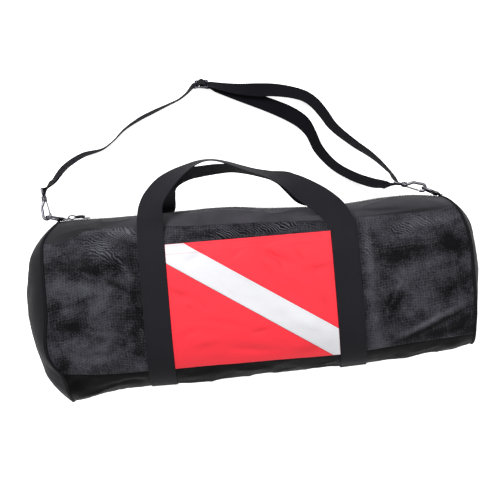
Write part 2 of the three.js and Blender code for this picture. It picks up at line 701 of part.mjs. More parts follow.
// Diagonal stripe: the part of a layer over the flag that lies between two upright planes.
function flagStripe() {
  const base = SEAM_GAP + FLAG_WALL + SEAM_GAP;
  const layer = sheet(trimmed(flagGrid(base + STRIPE_WALL), SEAM_GAP), trimmed(flagGrid(base), SEAM_GAP));
  const left = -WEB_LEFT + HALF_WEB;
  const right = WEB_RIGHT - HALF_WEB;
  const start = skin(left, girthLine('flagTop', left));
  const end = skin(right, girthLine('lowerFront', right));
  start.y -= STRIPE_START;
  end.y += STRIPE_END;
  const way = Math.atan2(end.y - start.y, end.x - start.x);
  const cutter = new THREE.BoxGeometry(2 * (right - left), STRIPE_WIDTH, 2 * HEIGHT);
  cutter.rotateZ(way);
  cutter.translate((start.x + end.x) / 2, (start.y + end.y) / 2, HEIGHT / 2);
  return fromManifold(toManifold(layer).intersect(toManifold(cutter)));
}

// Zipper: a tape with a raised coil along the middle, between the two top panels.
function zipper() {
  const half = TAPE_WIDTH / 2;
  const coil = COIL_WIDTH / 2;
  const profile = [[-half, 0], [-coil, 0], [-coil * 0.7, COIL_RISE], [coil * 0.7, COIL_RISE], [coil, 0], [half, 0]];
  const front = rowOf.zipFront;
  const back = GIRTH.length - 1;
  const outer = profile.map(() => []);
  const inner = profile.map(() => []);
  for (let column = 0; column < COLUMNS.length; column += 1) {
    const [p, q] = [gridPoint(column, front), gridPoint(column, back)];
    const [m, n] = [gridNormal(column, front), gridNormal(column, back)];
    profile.forEach(([across, rise], k) => {
      const t = across / TAPE_WIDTH + 0.5;
      const normal = m.clone().lerp(n, t).normalize();
      const point = p.clone().lerp(q, t);
      outer[k].push(at(point, normal, rise));
      inner[k].push(at(point, normal, -TAPE_WALL));
    });
  }
  return sheet(trimmed(outer, SEAM_GAP / 2), trimmed(inner, SEAM_GAP / 2));
}

// Middle of the zipper's coil at a station, with its directions.
function zipPlace(x) {
  const section = sectionAt(x);
  const turn = turnAtZ(section, ZIP_RISE * section.rise);
  const point = skin(x, turn);
  const along = skin(x + 1, turn).sub(skin(x - 1, turn)).normalize();
  const across = skin(x, turn - 1).sub(skin(x, turn + 1)).normalize();
  const out = along.clone().cross(across).negate().normalize();
  return { point, along, across: out.clone().cross(along).negate(), out };
}

// Wires and hardware

const circle = (radius) => new THREE.Shape().absarc(0, 0, radius, 0, 2 * Math.PI);

// Round bar along a path of points in a local frame.
function wire(points, diameter, steps, sides = 8) {
  const path = new THREE.CatmullRomCurve3(points, false, 'centripetal');
  const options = { steps, curveSegments: sides, bevelEnabled: false, extrudePath: path };
  return new THREE.ExtrudeGeometry(circle(diameter / 2), options);
}

function loopWire(points, diameter, steps, sides = 8) {
  const path = new THREE.CatmullRomCurve3(points, true, 'centripetal');
  const frames = path.computeFrenetFrames(steps, true);
  const rings = [];
  for (let i = 0; i < steps; i += 1) {
    const middle = path.getPointAt(i / steps);
    for (let k = 0; k < sides; k += 1) {
      const turn = (2 * Math.PI * k) / sides;
      const point = at(middle, frames.normals[i], Math.cos(turn) * (diameter / 2));
      rings.push(at(point, frames.binormals[i], Math.sin(turn) * (diameter / 2)));
    }
  }
  const faces = [];
  const id = (i, k) => (i % steps) * sides + (k % sides);
  for (let i = 0; i < steps; i += 1) {
    for (let k = 0; k < sides; k += 1) {
      faces.push([id(i, k), id(i, k + 1), id(i + 1, k + 1)], [id(i, k), id(i + 1, k + 1), id(i + 1, k)]);
    }
  }
  return solid(rings, faces);
}

function box(width, depth, height, x, y, z) {
  const geometry = new THREE.BoxGeometry(width, depth, height);
  geometry.translate(x, y, z);
  return geometry;
}

// Right-handed frame with its first axis along way and its third near axis.
function frameOf(origin, way, axis) {
  const first = way.clone().normalize();
  const third = axis.clone().addScaledVector(first, -axis.dot(first)).normalize();
  const second = third.clone().cross(first);
  return new THREE.Matrix4().makeBasis(first, second, third).setPosition(origin);
}

// D-ring in its own frame: the bar along z at the origin, the bow towards +x.
const ringBow = RING_DEPTH;
function ringPoints() {
  const half = RING_WIDTH / 2;
  const bow = [
    vec(0, 0, -half * 0.74), vec(0, 0, half * 0.74), vec(2, 0, half * 0.9),
    vec(6, 0, half * 0.96), vec(ringBow * 0.5, 0, half * 0.86), vec(ringBow * 0.82, 0, half * 0.55),
    vec(ringBow, 0, 0),
  ];
  const back = bow.slice(2, 6).reverse().map((p) => vec(p.x, p.y, -p.z));
  return [...bow, ...back];
}

// The bar of a ring lies on its folded tab, which lies on the zipper's coil at a station.
function ringSeat(x) {
  const seat = zipPlace(x);
  const lift = COIL_RISE + FIT + TAB_WALL + FIT + RING_WIRE / 2;
  return { ...seat, bar: at(seat.point, seat.out, lift) };
}

function ringFrame(x) {
  const seat = ringSeat(x);
  const way = seat.along.clone().multiplyScalar(-Math.cos(rad(RING_SWING)));
  way.addScaledVector(seat.out, Math.sin(rad(RING_SWING)));
  return frameOf(seat.bar, way, seat.across);
}

function tabFrame(x) {
  const seat = ringSeat(x);
  return frameOf(seat.bar, seat.along, seat.across);
}

// Folded webbing that holds a ring's bar: x along the bag away from the ring, y out of the cloth.
function ringTab(length) {
  const radius = RING_WIRE / 2 + FIT + TAB_WALL / 2;
  const stations = [];
  const lay = (x, y, wayX, wayY) => {
    const face = vec(-wayY, wayX, 0).normalize();
    stations.push(strapSection(vec(x, y, 0), vec(0, 0, 1), face, TAB_WIDTH, TAB_WALL));
  };
  const upper = -radius + TAB_WALL + FIT;
  lay(length, -radius, -1, 0);
  for (let turn = -90; turn >= -300; turn -= 30) {
    const [cos, sin] = [Math.cos(rad(turn)), Math.sin(rad(turn))];
    lay(radius * cos, radius * sin, sin, -cos);
  }
  lay(length * 0.6, upper, 1, -0.3);
  lay(length, upper, 1, 0);
  return band(stations);
}

// Hook in its own frame: x from the ring to the eye, y across the hook, z along the eye's bars.
const barrelStart = HOOK_SPINE + 8;
const eyeStart = barrelStart + BARREL_LENGTH + EYE_WIRE * 0.2;
const eyeEnd = eyeStart + EYE_OPENING + EYE_WIRE;
const eyeHalf = STRAP_WIDTH / 2 + FIT + 1 + EYE_WIRE / 2;

function hookBody() {
  const r = HOOK_RADIUS;
  const bend = [];
  for (let turn = 90; turn <= 270; turn += 30) {
    bend.push(vec(r * Math.cos(rad(turn)), -r * Math.sin(rad(turn)), 0));
  }
  const spine = [vec(barrelStart + 2, 0, 0), vec(HOOK_SPINE + 3, -r * 0.55, 0), vec(HOOK_SPINE - 3, -r, 0), vec(8, -r, 0)];
  const tip = [vec(4, r, 0)];
  const barrel = new THREE.CylinderGeometry(BARREL_WIDTH / 2, BARREL_WIDTH / 2, BARREL_LENGTH, 10);
  barrel.rotateZ(Math.PI / 2);
  barrel.translate(barrelStart + BARREL_LENGTH / 2, 0, 0);
  const eye = loopWire([
    vec(eyeStart, 0, -eyeHalf * 0.8), vec(eyeStart, 0, eyeHalf * 0.8), vec(eyeStart + 1, 0, eyeHalf),
    vec(eyeEnd - 1, 0, eyeHalf), vec(eyeEnd, 0, eyeHalf * 0.8), vec(eyeEnd, 0, -eyeHalf * 0.8),
    vec(eyeEnd - 1, 0, -eyeHalf), vec(eyeStart + 1, 0, -eyeHalf),
  ], EYE_WIRE, 20, 6);
  return joined([wire([...spine, ...bend, ...tip], HOOK_WIRE, 22, 6), barrel, eye]);
}

const gatePivot = vec(barrelStart - GATE_ROOM, BARREL_WIDTH / 2 - 1.1, 0);

function hookGate() {
  const reach = vec(4 + FIT, HOOK_RADIUS, 0).sub(gatePivot);
  const end = reach.clone().multiplyScalar(1 - 1.2 / reach.length());
  return wire([vec(0, 0, 0), end.clone().multiplyScalar(0.5), end], GATE_WIRE, 4);
}

function hookFrame(hook, ringX) {
  const way = unit(hook.way);
  const side = unit(hook.across);
  const axis = way.clone().cross(side).normalize();
  const seat = HOOK_RADIUS - HOOK_WIRE / 2 - RING_WIRE / 2 - LINK_ROOM;
  const bow = vec(RING_DEPTH, 0, 0).applyMatrix4(ringFrame(ringX));
  return frameOf(at(bow, way, seat), way, axis);
}

// Strap adjuster in its own frame: x along the strap, z along its three bars.
const glideHalf = STRAP_WIDTH / 2 + FIT + 1 + GLIDE_WIRE / 2;
const glideReach = GLIDE_LENGTH / 2 - GLIDE_WIRE / 2;
function strapGlide() {
  const bar = (x) => wire([vec(x, 0, -glideHalf), vec(x, 0, glideHalf)], GLIDE_WIRE, 1);
  const side = (z) => wire([vec(-glideReach - 0.8, 0, z), vec(glideReach + 0.8, 0, z)], GLIDE_WIRE, 1);
  return joined([bar(-glideReach), bar(0), bar(glideReach), side(-glideHalf), side(glideHalf)]);
}

// Stations of a strap that turns round a bar: local frame with the bar along z.
function turnRound(frame, barX, barWire, fromTurn, toTurn, steps) {
  const radius = barWire / 2 + FIT + STRAP_WALL / 2 + TURN_ROOM;
  const stations = [];
  for (let k = 0; k <= steps; k += 1) {
    const turn = rad(THREE.MathUtils.lerp(fromTurn, toTurn, k / steps));
    const way = Math.sign(toTurn - fromTurn);
    stations.push({
      middle: vec(barX + radius * Math.cos(turn), radius * Math.sin(turn), 0).applyMatrix4(frame),
      way: vec(-Math.sin(turn) * way, Math.cos(turn) * way, 0).transformDirection(frame),
      wide: vec(0, 0, 1).transformDirection(frame),
    });
  }
  return stations;
}

// Stations of a strap through points of a local frame, with its width along z.
function stationsThrough(frame, points) {
  const wide = vec(0, 0, 1).transformDirection(frame);
  return points.map(([x, y]) => ({ middle: vec(x, y, 0).applyMatrix4(frame), wide }));
}

// Floor stations: the width leans out of level, and the lowest edge keeps its lift.
function floorStations(rows) {
  const plan = rows.map(([x, y]) => vec(x, y, 0));
  return rows.map(([x, y, lean, lift], i) => {
    const before = plan[Math.max(i - 1, 0)];
    const after = plan[Math.min(i + 1, plan.length - 1)];
    const way = after.clone().sub(before).normalize();
    const wide = vec(-way.y, way.x, 0).multiplyScalar(Math.cos(rad(lean))).setZ(Math.sin(rad(lean)));
    const low = (Math.abs(wide.z) * STRAP_WIDTH + Math.cos(rad(lean)) * STRAP_WALL) / 2;
    return { middle: vec(x, y, low + lift), wide };
  });
}

// Ways that are not given follow the neighbours, and the width keeps to one side all along.
function strapBand(stations) {
  let last = null;
  const sections = stations.map((station, i) => {
    const before = stations[Math.max(i - 1, 0)].middle;
    const after = stations[Math.min(i + 1, stations.length - 1)].middle;
    const way = station.way ?? after.clone().sub(before).normalize();
    const wide = station.wide.clone().addScaledVector(way, -station.wide.dot(way)).normalize();
    if (last && wide.dot(last) < 0) wide.negate();
    last = wide;
    return strapSection(station.middle, wide, wide.clone().cross(way), STRAP_WIDTH, STRAP_WALL);
  });
  return band(sections);
}

const leftRingX = -LEFT_LENGTH + LEFT_RING_INSET;
const rightRingX = RIGHT_LENGTH - RIGHT_RING_INSET;
const glideFrame = frameOf(vec(...GLIDE.middle), unit(GLIDE.way), unit(GLIDE.axis));

function shoulderStrap() {
  const right = hookFrame(HOOK_RIGHT, rightRingX);
  const left = hookFrame(HOOK_LEFT, leftRingX);
  const leaf = EYE_WIRE / 2 + FIT + STRAP_WALL / 2;
  return strapBand([
    ...turnRound(glideFrame, 0, GLIDE_WIRE, 120, 270, 5),
    ...stationsThrough(glideFrame, GLIDE_END),
    ...floorStations(LOWER_STRAND),
    ...turnRound(right, eyeEnd, EYE_WIRE, 90, 270, 5),
    ...floorStations(UPPER_STRAND),
    ...stationsThrough(glideFrame, GLIDE_PASS),
    ...floorStations(SINGLE_STRAND),
    ...turnRound(left, eyeEnd, EYE_WIRE, 90, 270, 5),
    ...stationsThrough(left, [[eyeEnd + 5, -leaf], [eyeEnd + 12, -leaf]]),
  ]);
}

// Materials and assembly

const finish = (color, roughness, metalness = 0) => (
  new THREE.MeshStandardMaterial({ color, roughness, metalness, side: THREE.DoubleSide })
);

const bag = new THREE.Group();

function add(name, geometry, material, frame = new THREE.Matrix4()) {
  geometry.computeVertexNormals();
  const mesh = new THREE.Mesh(geometry, material);
  mesh.name = name;
  mesh.applyMatrix4(frame);
  bag.add(mesh);
}

add('mesh_front', bodyPanel('upperFront', 'lowerFront', MESH_WALL), finish(0x2c2c32, 0.8));
add('mesh_back', bodyPanel('lowerBack', 'upperBack', MESH_WALL), finish(0x2c2c32, 0.8));
add('top_panel_front', bodyPanel('zipFront', 'upperFront', CLOTH_WALL), finish(0x3a393e, 0.6));
add('top_panel_back', bodyPanel('upperBack', 'zipBack', CLOTH_WALL), finish(0x3a393e, 0.6));
add('bottom_panel', bodyPanel('lowerFront', 'lowerBack', CLOTH_WALL), finish(0x232227, 0.6));
add('end_left', endDisc(columnOf.leftSeam, LEFT_END), finish(0x232227, 0.6));
add('end_right', endDisc(columnOf.rightSeam, RIGHT_END), finish(0x232227, 0.6));
add('flag_pocket', flagPocket(), finish(0xf03c46, 0.65));
add('flag_stripe', flagStripe(), finish(0xf2f2f5, 0.65));
add('zipper', zipper(), finish(0x1c1c20, 0.7));

add('webbing_front', webbing(rowOf.flagTop - 1, FRONT_HANDLE, frontWidth), finish(0x232326, 0.8));
add('webbing_back', webbing(rowOf.upperBack, BACK_HANDLE, backWidth), finish(0x232326, 0.8));

const metal = finish(0xb8b8bc, 0.3, 1);
const webCloth = finish(0x1d1c20, 0.8);
const ENDS = [['left', leftRingX, HOOK_LEFT, TAB_LENGTH], ['right', rightRingX, HOOK_RIGHT, RIGHT_TAB_LENGTH]];
for (const [side, ringX, hook, tab] of ENDS) {
  const place = hookFrame(hook, ringX);
  add(`dring_${side}`, loopWire(ringPoints(), RING_WIRE, 24, 6), metal, ringFrame(ringX));
  add(`dring_tab_${side}`, ringTab(tab), webCloth, tabFrame(ringX));
  add(`hook_${side}`, hookBody(), metal, place);
  add(`gate_${side}`, hookGate(), metal, place.clone().multiply(new THREE.Matrix4().setPosition(gatePivot)));
}
add('shoulder_strap', shoulderStrap(), webCloth);
add('strap_slider', strapGlide(), metal, glideFrame);

// Zipper slider with its lug, and the pull with an oval ring at its end.
function sliderBody() {
  const height = SLIDER_HEIGHT;
  const body = box(SLIDER_LENGTH, height * 0.4, SLIDER_WIDTH, 0, height * 0.2, 0);
  const posts = [-1, 1].map((side) => box(2, height * 0.7, 1.4, -4, height * 0.6, side * 2.6));
  const bridge = wire([vec(-4, height * 0.8, -3.2), vec(-4, height * 0.8, 3.2)], 1.6, 1);
  return joined([body, ...posts, bridge]);
}

function zipPull() {
  const half = PULL_WIDTH / 2;
  const ring = loopWire([vec(-5, 0, 0), vec(0, 0, half), vec(5, 0, 0), vec(0, 0, -half)], PULL_WALL, 16, 6);
  ring.translate(-PULL_LENGTH + 5, 0, 0);
  const [near, far] = [-1.8, -PULL_LENGTH + 9.2];
  const tongue = box(near - far, PULL_WALL, half, (near + far) / 2, 0, 0);
  const eye = loopWire([vec(0, 1.7, 0), vec(1.7, 0, 0), vec(0, -1.7, 0), vec(-1.7, 0, 0)], 0.9, 12, 6);
  return joined([ring, tongue, eye]);
}

const zipSeat = zipPlace(-LEFT_LENGTH + SLIDER_INSET);
const zipFrame = new THREE.Matrix4().makeBasis(zipSeat.along, zipSeat.out, zipSeat.across);
zipFrame.setPosition(at(zipSeat.point, zipSeat.out, COIL_RISE + FIT));
add('zipper_slider', sliderBody(), finish(0x2a2a2e, 0.5), zipFrame);
const pullFrame = zipFrame.clone().multiply(new THREE.Matrix4().setPosition(-4, SLIDER_HEIGHT * 0.8, 0));
add('zipper_pull', zipPull(), metal, pullFrame);

export default bag;
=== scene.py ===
import math

import bpy
import numpy as np
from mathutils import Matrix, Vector


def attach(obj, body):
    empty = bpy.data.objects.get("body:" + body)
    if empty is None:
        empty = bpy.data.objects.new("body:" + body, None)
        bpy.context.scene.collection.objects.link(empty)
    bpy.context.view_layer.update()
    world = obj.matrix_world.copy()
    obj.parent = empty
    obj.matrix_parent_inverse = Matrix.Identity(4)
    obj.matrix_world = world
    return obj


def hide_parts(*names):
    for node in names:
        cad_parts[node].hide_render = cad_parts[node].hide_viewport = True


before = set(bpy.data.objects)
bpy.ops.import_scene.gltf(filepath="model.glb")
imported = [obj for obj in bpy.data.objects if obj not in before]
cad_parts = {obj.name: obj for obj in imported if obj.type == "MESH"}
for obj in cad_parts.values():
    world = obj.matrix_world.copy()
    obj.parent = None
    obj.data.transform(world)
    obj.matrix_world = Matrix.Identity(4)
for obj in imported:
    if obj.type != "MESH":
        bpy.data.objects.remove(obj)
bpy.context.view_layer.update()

MM = 0.001

# Bag body, in mm like all sizes that follow
LEFT_LENGTH = 392
RIGHT_LENGTH = 417
HALF_DEPTH = 165
HEIGHT = 264
LEFT_END = {"side": -1, "length": LEFT_LENGTH, "bulge": 40, "drop": 14}
RIGHT_END = {"side": 1, "length": RIGHT_LENGTH, "bulge": 15, "drop": 18}
SQUARENESS = 2.9
END_WALL = 1.5
MESH_WALL = 1.1
PANEL_WALL = 1.4
BINDING_RADIUS = 2.1
SEAM_GAP = 0.3
FIT = 0.3
FLOOR_SINK = 5
FLOOR_BLEND = 3

# Webbing of the carry handles
WEB_WIDTH = 50
WEB_WALL = 2
WEB_LEFT = 183
WEB_RIGHT = 180
HALF_WEB = WEB_WIDTH / 2
WEB_LIFT = SEAM_GAP + WEB_WALL
GROOVE_RAMP = 14

# Pocket and stripe, and the mesh held down under them
FLAG_LEFT = -WEB_LEFT + HALF_WEB
FLAG_RIGHT = WEB_RIGHT - HALF_WEB
FLAG_TOP = 104
FLAG_WALL = 1
HOLD = WEB_RIGHT - 12
UNDER_FLAG = 2.6
STRIPE_WALL = 0.8
STRIPE_WIDTH = 48
STRIPE_START = 6
STRIPE_END = 20.5
STRIPE_SHADE = 0.5
STRIPE_CORD = 0.5

# Zipper
TAPE_WIDTH = 24
TAPE_WALL = 1.0
COIL_RISE = 1.6
TOOTH_STEP = 1.5
ZIP_RISE = 0.55
SLIDER_INSET = 74
SLIDER_HEIGHT = 6
PULL_LENGTH = 27

# Shoulder strap, rings in their tabs, hooks and the strap's slider
STRAP_WIDTH = 32
STRAP_WALL = 1.6
RING_WIDTH = 40
RING_DEPTH = 27
RING_WIRE = 4
RING_SWING = 20
TAB_WIDTH = 28
TAB_WALL = 1.6
HOOK_WIRE = 5
HOOK_SEAT = 4.4
HOOK_RADIUS = 6.8
HOOK_SPINE = 22
BARREL_LENGTH = 10
BARREL_WIDTH = 9
BARREL_RADIUS = 5.3
EYE_OPENING = 7
EYE_WIRE = 3.6
GATE_WIRE = 3
GATE_ROOM = 0.95
LINK_ROOM = 1.1
TURN_ROOM = 0.15
GLIDE_LENGTH = 27
GLIDE_WIRE = 3.2
GLIDE_CORNER = 2.2

# Added to the radius of the wires as they are drawn
RING_SWELL = 0.6
HOOK_SWELL = 0.4
EYE_SWELL = 0.3

# Stitches: spacing, length, width and height
FLAG_STITCH = (3.4, 2.3, 0.55, 0.2)
WEB_STITCH = (4.4, 3.0, 0.7, 0.25)
STITCH_SINK = 0.2

# Points along and across the finer meshes
PANEL_COLUMNS = 300
FLAG_ROWS, FLAG_COLUMNS = 140, 180
STRIPE_ROWS, STRIPE_COLUMNS = 34, 200
END_RINGS, END_COLUMNS = 26, 160
BINDING_COLUMNS = 220
TAPE_ROWS = 25

# Camera, with its place in metres and its turn in degrees, and the floor
CAMERA_PLACE = (0.001, 0.081, 4.05)
CAMERA_TURN = -4.8
CAMERA_LENS = 145.9
CAMERA_SENSOR = 36
FLOOR_REACH = 6000
FLOOR_DROP = 0.3
FLOOR_GLOW = 0.7

# Sections along the bag: share of the half length, reach to the zipper and to the bottom, rise,
# and the front seams of the mesh.
SECTIONS = np.array([
    (-1.0, 1.0, 1.1, 0.9, 0.76, -0.74),
    (-0.9, 1.01, 1.08, 0.935, 0.78, -0.77),
    (-0.72, 1.0, 1.01, 0.975, 0.88, -0.79),
    (-0.54, 1.0, 0.99, 0.99, 0.87, -0.79),
    (-0.27, 1.01, 0.99, 1.0, 0.82, -0.78),
    (-0.08, 1.01, 0.97, 1.0, 0.81, -0.78),
    (0.11, 0.96, 0.95, 0.995, 0.79, -0.78),
    (0.36, 0.93, 0.95, 0.99, 0.76, -0.78),
    (0.48, 0.94, 0.94, 0.985, 0.76, -0.77),
    (0.66, 0.97, 0.91, 0.97, 0.76, -0.73),
    (0.8, 0.97, 0.88, 0.955, 0.76, -0.71),
    (0.9, 0.95, 0.86, 0.94, 0.78, -0.7),
    (1.0, 0.93, 0.81, 0.92, 0.82, -0.68),
])

# How far the end seams are pulled in: reach across the bag, left share, right share.
SEAM_PULL = np.array([
    (-1.0, 0.073, 0.01), (-0.85, 0.068, 0.008), (-0.7, 0.056, 0.005), (-0.6, 0.022, 0.002),
    (-0.47, -0.008, 0.0), (-0.3, -0.016, 0.0), (0.0, 0.0, 0.0), (0.4, 0.0, 0.002),
    (0.68, 0.0, 0.022), (0.8, 0.008, 0.036), (0.88, 0.03, 0.052), (0.96, 0.062, 0.078),
    (1.0, 0.073, 0.098),
])

# Hollows and swells: share of the half length, girth angle, half sizes along and across, skew,
# depth. Sizes are shares of the height.
FOLDS = [
    (-0.84, 34, 0.26, 0.08, -38, -0.022), (-0.7, 47, 0.3, 0.05, -14, 0.018),
    (-0.66, 12, 0.2, 0.12, 22, -0.02), (-0.86, -2, 0.16, 0.16, 0, 0.016),
    (-0.78, -26, 0.24, 0.07, -8, -0.018), (-0.93, -46, 0.14, 0.09, 35, -0.026),
    (-0.66, -60, 0.22, 0.06, 6, -0.014), (-0.13, 66, 0.3, 0.07, 4, 0.014),
    (0.28, 62, 0.28, 0.08, -6, -0.02), (-0.26, 18, 0.12, 0.05, 30, -0.009),
    (0.14, 14, 0.2, 0.05, -28, -0.012), (0.24, -16, 0.22, 0.07, -24, 0.01),
    (-0.02, -34, 0.26, 0.06, -12, -0.01), (0.62, 26, 0.22, 0.08, 10, -0.022),
    (0.84, 28, 0.16, 0.12, 24, -0.02), (0.72, 8, 0.3, 0.055, 14, 0.02),
    (0.58, -14, 0.16, 0.07, -58, -0.02), (0.88, -10, 0.2, 0.07, 20, -0.024),
    (0.78, -27, 0.3, 0.05, 24, 0.02), (0.92, -40, 0.14, 0.1, 10, -0.02),
    (-0.3, -74, 0.3, 0.06, 3, 0.01), (0.3, -72, 0.36, 0.05, -4, -0.01),
    (-0.74, 130, 0.26, 0.1, 18, -0.018), (0.7, 136, 0.24, 0.1, -20, -0.018),
    (-0.6, 232, 0.24, 0.1, -14, -0.016), (0.66, 228, 0.26, 0.1, 16, -0.016),
]

# Painted light and shade on the mesh, lighter and darker patches over its dents and folds: x, y, half sizes
# along and across in mm, skew in degrees, tone.
MESH_LIGHT_AND_SHADE = [
    (-320, 70, 60, 24, -4, -0.9), (-255, 72, 26, 30, -40, -0.6), (-335, 38, 56, 18, -6, 0.9),
    (-280, 20, 24, 26, 0, 0.8), (-372, 0, 18, 22, 0, -0.5), (-345, -34, 50, 18, -8, -0.9),
    (-300, -25, 26, 40, 0, 0.45), (-315, -92, 60, 34, 0, 0.9), (-366, -104, 24, 16, 40, -0.9),
    (-240, 132, 34, 12, -4, 1.0), (-280, 104, 42, 16, -22, 0.5), (-218, -10, 20, 100, 0, -0.8),
    (320, 106, 52, 14, 4, 1.0), (222, 55, 10, 80, 0, 0.8), (282, 48, 46, 20, 6, -0.9),
    (382, 60, 30, 26, 0, -0.9), (282, 10, 28, 30, 20, 0.6), (330, 28, 44, 12, 14, 0.6),
    (372, -20, 36, 22, 12, -0.9), (318, -42, 40, 22, 20, 0.6), (262, -48, 12, 34, -16, -0.8),
    (345, -72, 66, 7, 22, 1.0), (226, -115, 18, 22, 0, 0.8), (330, -106, 50, 12, 14, -0.8),
    (388, -92, 26, 26, 0, -0.9), (300, -92, 48, 5, 22, 0.9), (348, -82, 60, 5, 22, -0.8),
    (304, -101, 40, 5, 22, -0.7), (268, -20, 6, 34, -28, 0.6), (256, -30, 6, 30, -28, -0.7),
    (330, 60, 70, 5, 6, -0.5), (300, 84, 44, 5, -3, 0.4),
    (-300, 56, 44, 5, -22, 0.5), (-322, 12, 40, 5, 12, -0.5), (-286, -52, 40, 5, -12, 0.5),
    (-352, -66, 30, 6, 20, 0.5),
    (-232, 60, 8, 30, 30, 0.6), (-222, -118, 16, 14, 0, 0.9), (-262, 40, 30, 6, -30, -0.7),
    (-60, 116, 120, 9, 2, -0.5),
    (60, 119, 90, 9, 2, -0.2), (225, -60, 12, 40, 0, 0.4),
]

# Patches where two layers of mesh show wavy strands: place, half sizes, skew and strength.
STRANDS = [
    (-238, 134, 34, 14, -4, 1.2), (-282, 108, 40, 22, -26, 0.9), (-250, 80, 30, 14, -24, 0.5),
    (-38, 116, 36, 9, 2, 1.7), (55, 120, 44, 9, 2, 1.9), (128, 120, 20, 9, 2, 0.5),
    (322, 106, 44, 14, 4, 1.0),
    (222, 66, 9, 44, 0, 0.6), (-214, -60, 10, 60, 0, 0.3), (282, 96, 30, 12, 0, 0.5),
]

# Painted shade on the smooth panels: darker patches and thin dark lines, with columns as for the mesh.
PANEL_SHADE = [
    (-320, 140, 150, 70, 0, -1.0), (310, 130, 160, 60, 0, -0.55), (-100, 128, 60, 16, 0, -0.3),
    (140, 135, 40, 10, 0, -0.2), (300, 128, 110, 4, 2, -0.6), (250, 138, 70, 4, -2, -0.5),
    (-20, 126, 90, 5, 0, -0.5),
    (90, 146, 60, 4, 4, -0.4),
]

FRONT_HANDLE = [
    (-1.0, 0.885, 0.885, 3), (-0.995, 0.965, 0.873, 10), (-0.985, 1.065, 0.852, 22),
    (-0.95, 1.165, 0.832, 32), (-0.89, 1.255, 0.81, 38), (-0.815, 1.34, 0.795, 46),
    (-0.705, 1.425, 0.78, 59), (-0.595, 1.49, 0.773, 71), (-0.485, 1.54, 0.769, 79),
    (-0.38, 1.563, 0.769, 84), (-0.29, 1.558, 0.769, 85), (-0.165, 1.518, 0.769, 83),
    (-0.027, 1.455, 0.773, 80), (0.128, 1.39, 0.78, 77), (0.3, 1.327, 0.788, 69),
    (0.483, 1.242, 0.803, 48), (0.633, 1.122, 0.826, 24), (0.8, 0.982, 0.856, 8),
    (0.922, 0.842, 0.882, 2),
]
BACK_HANDLE = [
    (-0.965, 0.97, 0.212, 22), (-0.915, 1.018, 0.295, 10), (-0.885, 1.045, 0.367, 6),
    (-0.875, 1.1, 0.42, 14), (-0.868, 1.2, 0.462, 28), (-0.847, 1.29, 0.485, 33),
    (-0.792, 1.364, 0.5, 37), (-0.7, 1.412, 0.515, 32), (-0.58, 1.442, 0.523, 25),
    (-0.448, 1.455, 0.53, 22), (-0.279, 1.467, 0.53, 20), (-0.12, 1.46, 0.53, 15),
    (0.033, 1.412, 0.53, 8), (0.2, 1.364, 0.523, 10), (0.328, 1.333, 0.515, 18),
    (0.444, 1.285, 0.5, 30), (0.544, 1.194, 0.477, 38), (0.633, 1.079, 0.45, 33),
    (0.705, 1.012, 0.415, 20), (0.783, 0.972, 0.364, 9), (0.878, 0.955, 0.288, 12),
    (0.955, 0.915, 0.197, 25),
]

LOWER_STRAND = [
    (-40, 407, -62, 0.6), (-16, 398, -50, 0.6), (7, 390, -36, 0.6), (36, 378, -28, 0.6),
    (69, 363, -22, 0.6), (103, 345, -14, 0.6), (126, 327, -22, 0.6), (141, 303, -44, 0.6),
    (154, 270, -48, 2), (181, 235, -54, 12), (215, 210, -56, 34), (247, 194, -58, 60),
    (270, 186, -64, 82), (280, 183, -72, 90),
]
UPPER_STRAND = [
    (288, 205, 79, 84), (270, 230, 74, 58), (252, 250, 68, 38), (224, 275, 60, 18),
    (186, 313, 52, 5), (169, 341, 47, 1), (153, 363, 44, 0.6), (136, 377, 42, 0.6),
    (111, 387, 39, 0.6), (75, 395, 32, 0.6), (44, 398, 29, 0.6), (8, 402, 42, 0.6),
    (-21, 408, 54, 0.6), (-41, 413, 62, 1.5),
]
SINGLE_STRAND = [
    (-98, 403, 78, 2), (-114, 392, 80, 0.6), (-134, 384, 79, 0.6), (-171, 370, 74, 0.6),
    (-195, 360, 74, 0.6), (-228, 341, 79, 0.6), (-252, 320, 82, 0.6), (-274, 306, 80, 0.6),
    (-313, 297, 70, 9), (-346, 277, 68, 32), (-366, 252, 73, 64), (-377, 236, 80, 90),
]
HOOK_LEFT = {"way": (-0.09, 0.95, -0.27), "across": (1, 0.1, 0)}
HOOK_RIGHT = {"way": (-0.93, 0.25, -0.27), "across": (-0.25, -0.93, 0)}
GLIDE = {"middle": (-68, 418, 21), "way": (1, -0.02, 0), "axis": (0, -0.42, 0.91)}
GLIDE_PASS = [
    (16, -2.9), (11.9, -3), (8.8, -1.4), (4.5, 3), (0, 5.2), (-4.5, 3), (-8.8, -1.4), (-11.9, -3),
    (-16, -2.9),
]
GLIDE_END = [(4.5, -3.3), (8.8, -4.3), (11.9, -5.1), (16, -5.1)]


# Body surface


def look_up(rows, column, where):
    """Smooth value of a table's column between its rows."""
    keys, values = rows[:, 0], rows[:, column]
    where = np.clip(where, keys[0], keys[-1])
    last = len(keys) - 1
    i = np.clip(np.searchsorted(keys, where, side="left") - 1, 0, last - 1)
    order = np.arange(last + 1)
    low, high = np.maximum(order - 1, 0), np.minimum(order + 1, last)
    slope = (values[high] - values[low]) / (keys[high] - keys[low])
    span = keys[i + 1] - keys[i]
    t = (where - keys[i]) / span
    start, end = slope[i] * span, slope[i + 1] * span
    rise = values[i + 1] - values[i]
    return values[i] + t * (start + t * ((3 * rise - 2 * start - end) + t * (start + end - 2 * rise)))


def half_length(x):
    return np.where(x < 0, LEFT_LENGTH, RIGHT_LENGTH)


def share_of(x):
    return x / half_length(x)


def signed_power(value, power):
    return np.sign(value) * np.abs(value) ** power


